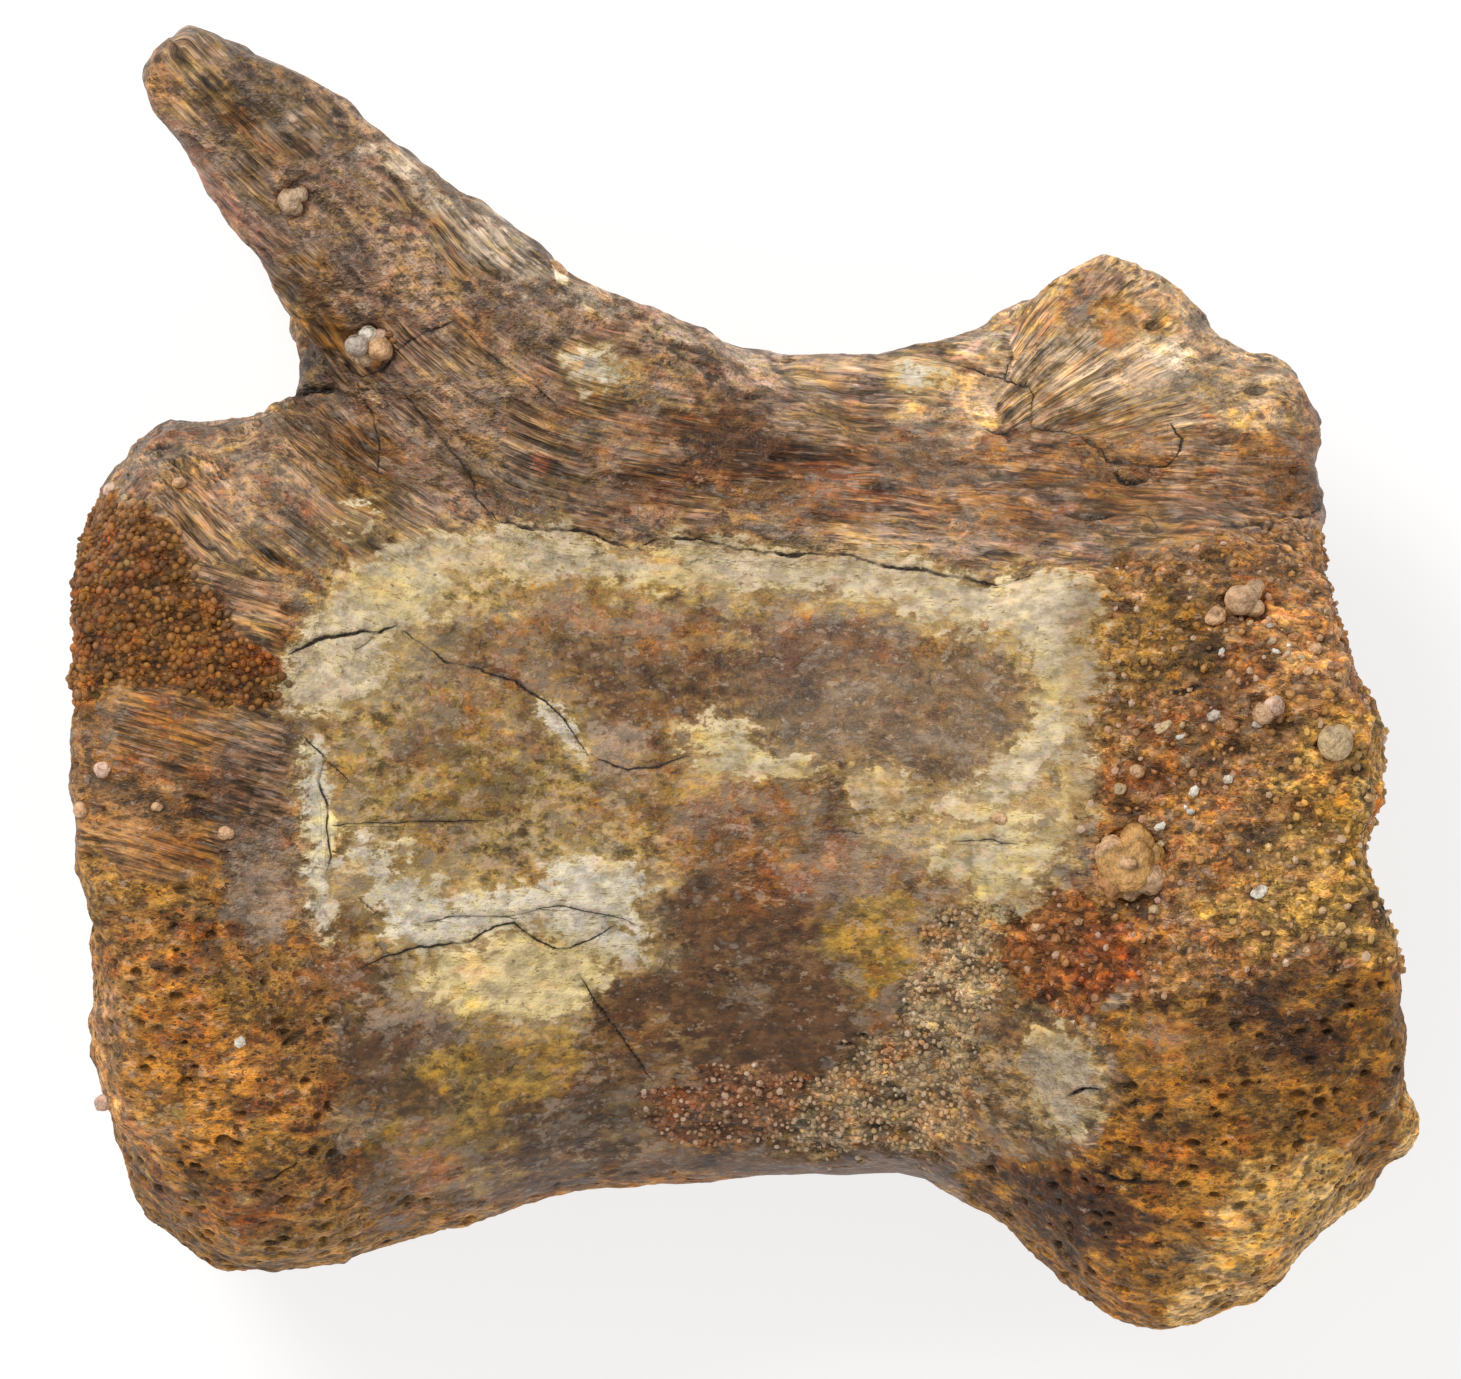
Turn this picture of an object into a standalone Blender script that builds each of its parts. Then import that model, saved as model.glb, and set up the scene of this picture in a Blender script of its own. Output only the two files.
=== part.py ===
"""Fossil tail vertebra of a large meat-eating dinosaur, lying on its right side.

The bone is one solid: a spool-shaped centrum, the neural arch on it, two front processes that reach
forwards and up, and the broken foot of the neural spine. Quartz pebbles that the rock left stuck to it
are solids of their own, each in a shallow socket.

Lengths are in millimetres while the shapes are made, and the finished meshes are scaled to metres.
X runs along the bone, front end at -X. Y runs up the bone, from its belly to its arch. Z is up off the
floor, which is also the bone's own left-right axis, with its midline at z = HALF_WIDTH.
"""

import math

import bmesh
import bpy
import numpy as np
from mathutils import Matrix, Vector, noise
from mathutils.bvhtree import BVHTree

METRES = 0.001

# Driving sizes
HALF_WIDTH = 30.0
WAIST_HALF_WIDTH = 18.5
FRONT_RIM_HALF_WIDTH = 30.9
REAR_RIM_HALF_WIDTH = 31.4
WAIST_X = -1.0
RIM_ROUNDING = 6.0
REAR_FACE_LEAN = 0.19
REAR_FACE_TOP = 11.3
CONTACT_GAP = 0.3
CANAL_RADIUS = 4.3
CANAL_FRONT = (-62.0, 27.0)
CANAL_REAR = (62.0, 15.0)

# The side outline, clockwise from the lip over the front face. Each stretch is one part's edge.
FRONT_LIP = [(-55.8, 11.2), (-53.6, 16.2), (-51.3, 19.2), (-48.9, 21.3), (-47.1, 21.8), (-45.0, 21.4),
             (-40.8, 22.7), (-38.1, 23.8)]
PROCESS_FRONT = [(-37.8, 27.1), (-38.6, 30.7), (-40.6, 32.8), (-40.2, 34.5), (-42.8, 38.1), (-46.0, 43.3),
                 (-49.8, 49.5)]
PROCESS_TOP = [(-48.8, 52.3), (-47.0, 54.2), (-45.2, 54.2), (-39.6, 51.3), (-35.0, 49.4), (-31.4, 46.4),
               (-24.7, 41.3), (-14.7, 33.7)]
SADDLE = [(-7.5, 30.3), (0.0, 28.5), (5.5, 27.6), (11.6, 27.8), (16.8, 29.3), (25.3, 33.8)]
SPINE_STUMP = [(28.8, 35.9), (30.0, 35.9), (31.2, 35.2), (33.8, 34.9), (36.7, 32.8), (38.5, 29.3), (41.0, 27.8),
               (44.7, 27.7), (46.0, 25.4), (47.8, 21.4), (48.0, 18.3), (47.6, 15.3), (47.0, 11.3)]
REAR_EDGE = [(47.9, 6.8), (50.0, 0.8), (51.8, -1.6), (52.5, -5.7), (51.7, -9.7), (50.1, -12.2), (50.1, -14.6),
             (52.2, -21.0), (54.4, -25.1), (53.9, -30.3), (54.2, -34.5), (53.6, -38.6)]
REAR_HEEL = [(51.3, -41.1), (49.8, -43.5), (45.4, -48.3), (42.3, -51.0), (38.3, -52.3), (34.7, -54.3),
             (28.6, -52.2), (22.1, -45.7)]
BELLY = [(15.3, -41.7), (12.0, -40.8), (-6.7, -41.2), (-14.7, -42.2), (-28.3, -46.1)]
FRONT_HEEL = [(-35.4, -49.0), (-39.5, -49.3), (-43.8, -48.5), (-50.3, -43.4), (-51.9, -39.0)]
FRONT_EDGE = [(-53.5, -34.7), (-53.3, -31.8), (-55.6, -23.8), (-53.9, -19.3), (-54.7, -14.3), (-55.7, -8.8),
              (-55.6, 2.8)]

# Where the centrum ends and the arch begins, front to rear, inside the joined solid.
ARCH_FOOT = [(-30.0, 21.5), (-10.0, 21.0), (20.0, 19.5), (38.0, 16.0)]
ARCH_FLOOR = 5.0
ARCH_FRONT_ROOF = [(-39.0, 29.0), (-30.0, 31.5), (-18.0, 31.5)]

# Half widths of the arch along the bone: x, at its foot, at its crest.
ARCH_HALF_WIDTHS = [(-39.0, 15.0, 6.0), (-22.0, 15.0, 5.0), (0.0, 13.5, 3.6), (15.0, 13.5, 3.6),
                    (30.0, 14.5, 4.2), (42.0, 15.0, 6.0), (48.0, 12.0, 6.0)]

# Stations of a front process from root to tip: x, y, half depth seen from the side, distance from the
# midline, half thickness.
PROCESS_STATIONS = [(8.0, 16.5, 6.0, 3.5, 6.0), (-5.0, 19.5, 9.0, 5.5, 6.6), (-16.0, 24.5, 11.8, 7.4, 6.8),
                    (-25.0, 31.0, 11.0, 8.6, 6.3), (-31.8, 36.8, 9.2, 9.8, 5.7), (-37.2, 42.4, 7.5, 11.0, 5.0),
                    (-41.6, 46.9, 6.2, 12.0, 4.5), (-45.2, 50.2, 5.1, 12.7, 3.9), (-47.8, 53.2, 3.6, 13.2, 2.8)]

# The worn knob that stands out of the rear rim: centre and half sizes.
KNOB_CENTRE = (52.6, -36.2, 42.0)
KNOB_RADII = (3.4, 3.2, 7.5)

# Hollows cut out of the joined solid, each an ellipsoid on the midline: name, x, y, distance from the
# midline, half sizes along x, y and z.
HOLLOWS = [("front_face", -61.0, -12.0, 0.0, (10.5, 27.0, 22.0)), ("rear_face", 61.5, -17.0, 0.0, (13.5, 25.0, 22.0)),
           ("front_heel_groove", -38.0, -53.0, -1.0, (20.0, 6.5, 6.0)),
           ("rear_heel_groove", 38.0, -57.5, -1.0, (24.0, 7.5, 6.5))]

# Broad swells and hollows of both sides: x, y, reach along x and y, height, negative where it is hollow.
SIDE_RELIEF = [("fossa", -4.0, 4.0, 44.0, 13.0, -1.7), ("belly_swell", -10.0, -22.0, 30.0, 13.0, 0.8),
               ("arch_ridge", 8.0, 17.5, 46.0, 6.0, 1.6), ("spine_hollow", 22.0, 25.0, 15.0, 6.0, -1.0),
               ("heel_swell", 34.0, -34.0, 15.0, 14.0, 1.3), ("rear_hollow", 40.0, -12.0, 9.0, 13.0, -1.5)]

# Uneven growth and wear: size of a lump and its height, all over, and chipped away at the two ends.
LUMP_SIZE, LUMP_HEIGHT = 9.0, 0.7
CHIP_SIZE, CHIP_HEIGHT = 5.0, 0.75
REAR_WEAR_FROM, REAR_WEAR_REACH = 30.0, 18.0
FRONT_WEAR_FROM, FRONT_WEAR_REACH, FRONT_WEAR = -38.0, 16.0, 0.6

# How the centrum flares and squares up towards its rims
FLARE_REACH = 1.18
FLARE_POWER = 1.15
WAIST_SQUARENESS = 2.25
RIM_EXTRA_SQUARENESS = 0.55
END_MARGIN = 0.1

# How the arch thins from its foot to its crest and rounds over at the top
ARCH_FRONT, ARCH_REAR = -38.5, 47.4
ARCH_BASE_REAR = 44.0
ARCH_THINNING = 1.35
CREST_ROUNDING = 0.985
CREST_POWER = 9
PROCESS_ROUNDNESS = 0.9

# Mesh sizes
VOXEL = 0.85
SMOOTHING = 0.5
SMOOTHING_ROUNDS = 7
OUTLINE_STEPS = 4
RING_POINTS = 56
STATION_STEP = 1.5
BONE_TRIANGLES = 9000
CANAL_SEGMENTS = 24
BALL_SEGMENTS, BALL_RINGS = 32, 20
FLOOR_BLOCK = (200.0, 200.0, 20.0)

# Quartz pebbles: name, x, y, diameter, height over width.
PEBBLES = [("pebble_arch_root", -31.3, 28.1, 4.0, 0.75), ("pebble_front_process", -37.7, 39.9, 2.6, 0.7),
           ("pebble_rear_upper", 40.4, 6.6, 3.6, 0.7), ("pebble_rear_middle", 42.1, -2.3, 3.0, 0.7),
           ("pebble_rear_rim", 47.6, -4.8, 3.0, 0.65), ("nodule_rear_lower", 31.3, -14.8, 6.2, 0.6)]

# How a pebble is worn, as a share of its diameter: size of a lump, its height, and how high its middle sits
PEBBLE_LUMP = 0.45
PEBBLE_WEAR = 0.22
PEBBLE_SEAT = 0.14

BONE_COLOUR = (0.30, 0.17, 0.085)
PEBBLE_COLOUR = (0.66, 0.48, 0.33)


def smooth_line(points, closed=False):
    """Points of a Catmull-Rom curve through the given ones."""
    given = np.array(points, float)
    if closed:
        padded = np.vstack([given[-1:], given, given[:2]])
    else:
        padded = np.vstack([2 * given[0] - given[1], given, 2 * given[-1] - given[-2]])
    line = []
    for a, b, c, d in zip(padded, padded[1:], padded[2:], padded[3:]):
        for t in np.linspace(0.0, 1.0, OUTLINE_STEPS, endpoint=False):
            line.append(0.5 * (2 * b + (c - a) * t + (2 * a - 5 * b + 4 * c - d) * t**2
                               + (3 * b - a - 3 * c + d) * t**3))
    if not closed:
        line.append(given[-1])
    return np.array(line)


def chord(outline, x):
    """Lowest and highest y at which the upright line at x crosses a closed outline."""
    start, end = outline, np.roll(outline, -1, axis=0)
    crosses = (start[:, 0] - x) * (end[:, 0] - x) < 0
    a, b = start[crosses], end[crosses]
    heights = a[:, 1] + (b[:, 1] - a[:, 1]) * (x - a[:, 0]) / (b[:, 0] - a[:, 0])
    return heights.min(), heights.max()


def stations(first, last):
    """Evenly spaced positions from first to last."""
    return np.linspace(first, last, round((last - first) / STATION_STEP) + 1)


def ease(value):
    """0 to 1 with level ends, for a value from 0 to 1."""
    value = np.clip(value, 0.0, 1.0)
    return value * value * (3 - 2 * value)


def hump(points, centre, radii):
    """1 at the centre of an ellipsoid, falling to 0 at its surface."""
    distance = np.linalg.norm((points - np.array(centre)) / np.array(radii), axis=1)
    return ease(1 - distance)


def signed_power(value, power):
    """A power that keeps its sign, for a squared-off round section."""
    return np.sign(value) * np.abs(value) ** power


def new_object(name, mesh):
    """An object for a mesh, in the scene."""
    made = bpy.data.objects.new(name, mesh)
    bpy.context.scene.collection.objects.link(made)
    return made


def mesh_object(name, shape):
    """An object for a bmesh, its faces turned outwards."""
    bmesh.ops.recalc_face_normals(shape, faces=shape.faces)
    mesh = bpy.data.meshes.new(name)
    shape.to_mesh(mesh)
    shape.free()
    return new_object(name, mesh)


def loft(name, rings):
    """A closed solid through rings of equal point count, with a flat cap at each end."""
    shape = bmesh.new()
    loops = [[shape.verts.new(point) for point in ring] for ring in rings]
    for near, far in zip(loops, loops[1:]):
        for i, corner in enumerate(near):
            j = (i + 1) % len(near)
            shape.faces.new((corner, near[j], far[j], far[i]))
    shape.faces.new(loops[0])
    shape.faces.new(loops[-1])
    return mesh_object(name, shape)


def ellipsoid(name, centre, radii):
    """A solid ellipsoid."""
    shape = bmesh.new()
    bmesh.ops.create_uvsphere(shape, u_segments=BALL_SEGMENTS, v_segments=BALL_RINGS, radius=1.0)
    bmesh.ops.transform(shape, matrix=Matrix.LocRotScale(Vector(centre), None, Vector(radii)), verts=shape.verts)
    return mesh_object(name, shape)


def settle(target):
    """Applies an object's modifiers to its mesh."""
    graph = bpy.context.evaluated_depsgraph_get()
    mesh = bpy.data.meshes.new_from_object(target.evaluated_get(graph))
    target.modifiers.clear()
    target.data = mesh
    return target


def combine(target, others, operation):
    """Joins, cuts or trims a solid with others, which are then removed."""
    group = bpy.data.collections.new("operands")
    for other in others:
        group.objects.link(other)
    boolean = target.modifiers.new("combine", "BOOLEAN")
    boolean.operation = operation
    boolean.operand_type = "COLLECTION"
    boolean.collection = group
    boolean.solver = "EXACT"
    settle(target)
    for other in others:
        bpy.data.objects.remove(other)
    bpy.data.collections.remove(group)
    return target


def side_outline():
    """The whole outline seen from the side."""
    return smooth_line(FRONT_LIP + PROCESS_FRONT + PROCESS_TOP + SADDLE + SPINE_STUMP + REAR_EDGE + REAR_HEEL
                       + BELLY + FRONT_HEEL + FRONT_EDGE, closed=True)


def rear_lean(x):
    """How far an upright section leans back for each step down, level with the rear face at the rear end."""
    return REAR_FACE_LEAN * ease((x - WAIST_X) / (REAR_EDGE[0][0] - WAIST_X))


def centrum_half_width(x, front, rear):
    """Half width of the spool: narrow at the waist, flared to the rims, rounded over at both ends."""
    reach = (x - WAIST_X) / (rear - WAIST_X) if x > WAIST_X else (WAIST_X - x) / (WAIST_X - front)
    rim = REAR_RIM_HALF_WIDTH if x > WAIST_X else FRONT_RIM_HALF_WIDTH
    flare = WAIST_HALF_WIDTH + (rim - WAIST_HALF_WIDTH) * ease(reach * FLARE_REACH) ** FLARE_POWER
    depth = min(x - front, rear - x, RIM_ROUNDING)
    return flare - RIM_ROUNDING + math.sqrt(RIM_ROUNDING**2 - (RIM_ROUNDING - depth) ** 2)


def centrum():
    """The spool-shaped body of the bone, squarer in section at its ends than at its waist."""
    outline = smooth_line(FRONT_LIP + ARCH_FOOT + SPINE_STUMP[-1:] + REAR_EDGE + REAR_HEEL + BELLY + FRONT_HEEL
                          + FRONT_EDGE, closed=True)
    front = outline[:, 0].min()
    rear = (outline[:, 0] - REAR_FACE_LEAN * (REAR_FACE_TOP - outline[:, 1])).max()
    turn = np.linspace(0.0, 2 * math.pi, RING_POINTS, endpoint=False)
    rings = []
    for x in stations(front + END_MARGIN, rear - END_MARGIN):
        lean = rear_lean(x)
        upright = outline - np.outer(lean * (REAR_FACE_TOP - outline[:, 1]), (1.0, 0.0))
        low, high = chord(upright, x)
        middle, half_height = (low + high) / 2, (high - low) / 2
        squareness = WAIST_SQUARENESS + RIM_EXTRA_SQUARENESS * ease(abs(x - WAIST_X) / (rear - WAIST_X))
        y = middle + half_height * signed_power(np.sin(turn), 2 / squareness)
        z = HALF_WIDTH + centrum_half_width(x, front, rear) * signed_power(np.cos(turn), 2 / squareness)
        rings.append(np.column_stack([x + lean * (REAR_FACE_TOP - y), y, z]))
    return loft("centrum", rings)


def neural_arch():
    """The arch over the neural canal and the foot of the spine, thick below and thin along its crest."""
    outline = smooth_line(ARCH_FRONT_ROOF + SADDLE + SPINE_STUMP
                          + [(ARCH_BASE_REAR, ARCH_FLOOR), (ARCH_FRONT_ROOF[0][0], ARCH_FLOOR)], closed=True)
    at, foot, crest = np.array(ARCH_HALF_WIDTHS).T
    up = np.linspace(0.0, 1.0, RING_POINTS // 2)
    rings = []
    for x in stations(ARCH_FRONT, ARCH_REAR):
        high = chord(outline, x)[1]
        foot_width, crest_width = np.interp(x, at, foot), np.interp(x, at, crest)
        width = crest_width + (foot_width - crest_width) * (1 - up**ARCH_THINNING)
        width = width * np.sqrt(1 - CREST_ROUNDING * up**CREST_POWER)
        y = ARCH_FLOOR + (high - ARCH_FLOOR) * up
        left = np.column_stack([np.full(len(up), x), y, HALF_WIDTH + width])
        right = np.column_stack([np.full(len(up), x), y, HALF_WIDTH - width])
        rings.append(np.vstack([left, right[::-1]]))
    return loft("neural_arch", rings)


def front_process(side):
    """One prezygapophysis, a flattened tapering rod. side is 1 for the upper one and -1 for the lower."""
    turn = np.linspace(0.0, 2 * math.pi, RING_POINTS, endpoint=False)
    line = smooth_line(PROCESS_STATIONS)
    along = np.gradient(line[:, :2], axis=0)
    along /= np.linalg.norm(along, axis=1)[:, None]
    rings = []
    for (x, y, half_depth, offset, half_thick), (run_x, run_y) in zip(line, along):
        across = half_depth * signed_power(np.cos(turn), PROCESS_ROUNDNESS)
        rings.append(np.column_stack([x - run_y * across, y + run_x * across,
                                      HALF_WIDTH + side * offset + half_thick * np.sin(turn)]))
    return loft("front_process", rings)


def outline_prism():
    """The side outline as a thick plate, to trim the joined solid to its true edge."""
    curve = bpy.data.curves.new("outline", "CURVE")
    curve.dimensions = "2D"
    curve.fill_mode = "BOTH"
    curve.extrude = HALF_WIDTH * 1.5
    outline = side_outline()
    spline = curve.splines.new("POLY")
    spline.points.add(len(outline) - 1)
    for point, (x, y) in zip(spline.points, outline):
        point.co = (x, y, 0.0, 1.0)
    spline.use_cyclic_u = True
    drawn = new_object("outline", curve)
    graph = bpy.context.evaluated_depsgraph_get()
    shape = bmesh.new()
    shape.from_mesh(bpy.data.meshes.new_from_object(drawn.evaluated_get(graph)))
    bpy.data.objects.remove(drawn)
    bmesh.ops.remove_doubles(shape, verts=shape.verts, dist=0.001)
    bmesh.ops.translate(shape, vec=(0.0, 0.0, HALF_WIDTH), verts=shape.verts)
    return mesh_object("outline", shape)


def neural_canal():
    """The canal for the spinal cord, from end to end under the arch."""
    front = Vector((CANAL_FRONT[0], CANAL_FRONT[1], HALF_WIDTH))
    rear = Vector((CANAL_REAR[0], CANAL_REAR[1], HALF_WIDTH))
    shape = bmesh.new()
    bmesh.ops.create_cone(shape, cap_ends=True, segments=CANAL_SEGMENTS, radius1=CANAL_RADIUS, radius2=CANAL_RADIUS,
                          depth=(rear - front).length)
    place = Matrix.Translation((front + rear) / 2) @ (rear - front).to_track_quat("Z", "Y").to_matrix().to_4x4()
    bmesh.ops.transform(shape, matrix=place, verts=shape.verts)
    return mesh_object("neural_canal", shape)


def hollows():
    """Cutters for the dished end faces, the groove between the heels and the canal."""
    cutters = [ellipsoid(name, (x, y, HALF_WIDTH + offset), radii) for name, x, y, offset, radii in HOLLOWS]
    return [*cutters, neural_canal()]


def uneven(points, size):
    """Smooth noise from -1 to 1 at each point, with lumps of a given size."""
    return np.array([noise.noise(Vector(point) / size) for point in points])


def relief(points, normals):
    """How far each point of the surface stands out from the plain form, along its normal."""
    flat = points * np.array([1.0, 1.0, 0.0])
    broad = sum(height * hump(flat, (x, y, 0.0), (reach_x, reach_y, 1.0))
                for _, x, y, reach_x, reach_y, height in SIDE_RELIEF)
    wear = (ease((points[:, 0] - REAR_WEAR_FROM) / REAR_WEAR_REACH)
            + FRONT_WEAR * ease((FRONT_WEAR_FROM - points[:, 0]) / FRONT_WEAR_REACH))
    return (np.abs(normals[:, 2]) * broad + LUMP_HEIGHT * uneven(points, LUMP_SIZE)
            + CHIP_HEIGHT * wear * uneven(points, CHIP_SIZE))


def shape_surface(target):
    """Blends the joined pieces into one skin, adds the relief and thins the mesh."""
    remesh = target.modifiers.new("blend", "REMESH")
    remesh.mode = "VOXEL"
    remesh.voxel_size = VOXEL
    smooth = target.modifiers.new("soften", "SMOOTH")
    smooth.factor = SMOOTHING
    smooth.iterations = SMOOTHING_ROUNDS
    settle(target)
    mesh = target.data
    points = np.zeros(len(mesh.vertices) * 3, np.float32)
    normals = np.zeros(len(mesh.vertices) * 3, np.float32)
    mesh.vertices.foreach_get("co", points)
    mesh.vertices.foreach_get("normal", normals)
    points = points.reshape(-1, 3).astype(float)
    normals = normals.reshape(-1, 3).astype(float)
    points += normals * relief(points, normals)[:, None]
    mesh.vertices.foreach_set("co", points.astype(np.float32).ravel())
    mesh.update()
    triangles = sum(len(face.vertices) - 2 for face in mesh.polygons)
    thin = target.modifiers.new("thin", "DECIMATE")
    thin.ratio = BONE_TRIANGLES / triangles
    thin.use_collapse_triangulate = True
    return settle(target)


def keep_largest(target):
    """Drops every closed surface but the largest."""
    shape = bmesh.new()
    shape.from_mesh(target.data)
    left = set(shape.verts)
    islands = []
    while left:
        island, edge = set(), [next(iter(left))]
        while edge:
            vertex = edge.pop()
            if vertex in island:
                continue
            island.add(vertex)
            edge.extend(link.other_vert(vertex) for link in vertex.link_edges)
        left -= island
        islands.append(island)
    keep = max(islands, key=len)
    bmesh.ops.delete(shape, geom=[v for v in shape.verts if v not in keep], context="VERTS")
    shape.to_mesh(target.data)
    shape.free()
    return target


def floor_cutter():
    """A block under the floor, which leaves small flats where the rims rest."""
    shape = bmesh.new()
    bmesh.ops.create_cube(shape, size=1.0)
    middle = Vector((0.0, 0.0, -FLOOR_BLOCK[2] / 2))
    bmesh.ops.transform(shape, matrix=Matrix.LocRotScale(middle, None, Vector(FLOOR_BLOCK)), verts=shape.verts)
    return mesh_object("floor", shape)


def pebble(name, place, normal, diameter, flatness, growth=0.0):
    """A worn quartz pebble sitting a third of its height into the bone, larger by growth all round."""
    shape = bmesh.new()
    bmesh.ops.create_icosphere(shape, subdivisions=2, radius=diameter / 2)
    for vertex in shape.verts:
        worn = 1 + PEBBLE_WEAR * noise.noise(vertex.co / (diameter * PEBBLE_LUMP) + Vector(place) / LUMP_SIZE)
        vertex.co *= worn
        vertex.co.z *= flatness
        vertex.co += vertex.co.normalized() * growth
    seat = Vector(place) + normal * (diameter * flatness * PEBBLE_SEAT)
    turn = normal.to_track_quat("Z", "Y").to_matrix().to_4x4()
    bmesh.ops.transform(shape, matrix=Matrix.Translation(seat) @ turn, verts=shape.verts)
    return mesh_object(name, shape)


def set_pebbles(bone):
    """Places each pebble on the upper side of the bone and cuts its socket."""
    surface = BVHTree.FromObject(bone, bpy.context.evaluated_depsgraph_get())
    pebbles, sockets = [], []
    for name, x, y, diameter, flatness in PEBBLES:
        place, normal, _, _ = surface.ray_cast(Vector((x, y, 4 * HALF_WIDTH)), Vector((0, 0, -1)))
        pebbles.append(pebble(name, place, normal, diameter, flatness))
        sockets.append(pebble(name + "_socket", place, normal, diameter, flatness, CONTACT_GAP))
    combine(bone, sockets, "DIFFERENCE")
    return pebbles


def finish(target, name, colour, roughness):
    """Names a part, scales it to metres and gives it its material."""
    target.name = target.data.name = name
    target.data.transform(Matrix.Scale(METRES, 4))
    target.data.shade_smooth()
    material = bpy.data.materials.new(name)
    material.use_nodes = True
    shader = material.node_tree.nodes["Principled BSDF"]
    shader.inputs["Base Color"].default_value = (*colour, 1.0)
    shader.inputs["Roughness"].default_value = roughness
    shader.inputs["Metallic"].default_value = 0.0
    target.data.materials.clear()
    target.data.materials.append(material)


def main():
    """Builds the bone and its pebbles."""
    for old in list(bpy.data.objects):
        bpy.data.objects.remove(old)
    bone = centrum()
    combine(bone, [neural_arch(), front_process(1), front_process(-1)], "UNION")
    combine(bone, [outline_prism()], "INTERSECT")
    combine(bone, [ellipsoid("knob", KNOB_CENTRE, KNOB_RADII)], "UNION")
    combine(bone, hollows(), "DIFFERENCE")
    shape_surface(bone)
    combine(bone, [floor_cutter()], "DIFFERENCE")
    keep_largest(bone)
    pebbles = set_pebbles(bone)
    keep_largest(bone)
    finish(bone, "vertebra", BONE_COLOUR, 0.7)
    for stone in pebbles:
        finish(stone, stone.name, PEBBLE_COLOUR, 0.4)
    parts = bpy.data.collections.new("fossil_vertebra")
    bpy.context.scene.collection.children.link(parts)
    for part in [bone, *pebbles]:
        bpy.context.scene.collection.objects.unlink(part)
        parts.objects.link(part)


main()
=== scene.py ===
"""Looks of the fossil tail vertebra: its skin, the sand and quartz stuck to it, and the studio round it.

Meshes are worked on in millimetres and turned to metres at the end. X runs along the bone to its rear
face, Y up the bone, and Z up off the floor, towards the camera. Places read from the photograph are
written in its pixels, and on_bone() turns them into millimetres on the bone.
"""

from __future__ import annotations

import logging
import math
from dataclasses import dataclass, field
from enum import Enum
from itertools import product

import bmesh
import bpy
import numpy as np
from mathutils import Matrix, Vector
from mathutils.bvhtree import BVHTree
from mathutils.kdtree import KDTree


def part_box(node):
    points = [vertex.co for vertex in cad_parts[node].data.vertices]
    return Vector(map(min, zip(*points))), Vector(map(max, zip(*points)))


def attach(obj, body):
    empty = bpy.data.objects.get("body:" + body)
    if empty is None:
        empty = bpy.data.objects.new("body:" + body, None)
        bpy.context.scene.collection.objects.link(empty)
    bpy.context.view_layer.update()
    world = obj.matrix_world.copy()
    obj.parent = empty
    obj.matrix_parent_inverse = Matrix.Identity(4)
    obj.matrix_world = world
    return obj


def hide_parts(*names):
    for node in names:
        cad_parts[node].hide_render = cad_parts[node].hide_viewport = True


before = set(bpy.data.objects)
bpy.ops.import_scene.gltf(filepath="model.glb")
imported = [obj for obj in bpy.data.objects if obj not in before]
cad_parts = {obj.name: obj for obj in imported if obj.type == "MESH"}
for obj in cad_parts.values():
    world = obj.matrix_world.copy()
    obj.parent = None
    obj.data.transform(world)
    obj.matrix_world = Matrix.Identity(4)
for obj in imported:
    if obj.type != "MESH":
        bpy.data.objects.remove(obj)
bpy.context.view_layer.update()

MM = 0.001
PIXELS_PER_MM = 12.0
PHOTO_MIDDLE = (750.0, 684.0)
MIDLINE = 30.0
BODY = "root"

Place = tuple[float, float]
Colour = tuple[float, float, float]
log = logging.getLogger("vertebra")


class Texture(Enum):
    """The kinds of surface that the bone has."""

    FIBROUS = "fibrous"
    SMOOTH = "smooth"
    CHALKY = "chalky"
    GRITTY = "gritty"
    SPONGY = "spongy"
    SANDY = "sandy"
    CRYSTALLINE = "crystalline"


@dataclass(frozen=True)
class Finish:
    """A colour in linear light, the surface that carries it, and the share of each kind of fleck in it."""

    colour: Colour
    texture: Texture
    dark: float = 0.25
    pale: float = 0.22
    ochre: float = 0.22
    rust: float = 0.22


@dataclass(frozen=True)
class Stain:
    """A patch of one finish. Its outline is in photograph pixels, the other sizes in millimetres."""

    name: str
    finish: Finish
    outline: tuple[Place, ...]
    soft: float = 0.8
    ragged: float = 1.5
    strength: float = 1.0


@dataclass(frozen=True)
class Crack:
    """A crack, slit or pit along a path in photograph pixels, with its width and depth in millimetres."""

    name: str
    path: tuple[Place, ...]
    width: float = 0.22
    depth: float = 0.4
    shade: float = 1.0


PROCESS_BROWN = Finish((0.315, 0.203, 0.142), Texture.FIBROUS, dark=0.3, pale=0.22, ochre=0.3, rust=0.25)
TIP_DARK = Finish((0.285, 0.180, 0.115), Texture.FIBROUS, dark=0.35, pale=0.18, ochre=0.25, rust=0.1)
DARK_FIBRE = Finish((0.120, 0.070, 0.046), Texture.FIBROUS, dark=0.5, pale=0.22, ochre=0.2, rust=0.2)
RED_FIBRE = Finish((0.280, 0.118, 0.074), Texture.FIBROUS, dark=0.15, pale=0.2, ochre=0.1, rust=0.2)
OCHRE_FIBRE = Finish((0.185, 0.080, 0.011), Texture.FIBROUS, dark=0.25, pale=0.1, ochre=0.45, rust=0.15)
PALE_FIBRE = Finish((0.720, 0.500, 0.330), Texture.FIBROUS, dark=0.15, pale=0.4, ochre=0.3, rust=0.15)
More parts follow.
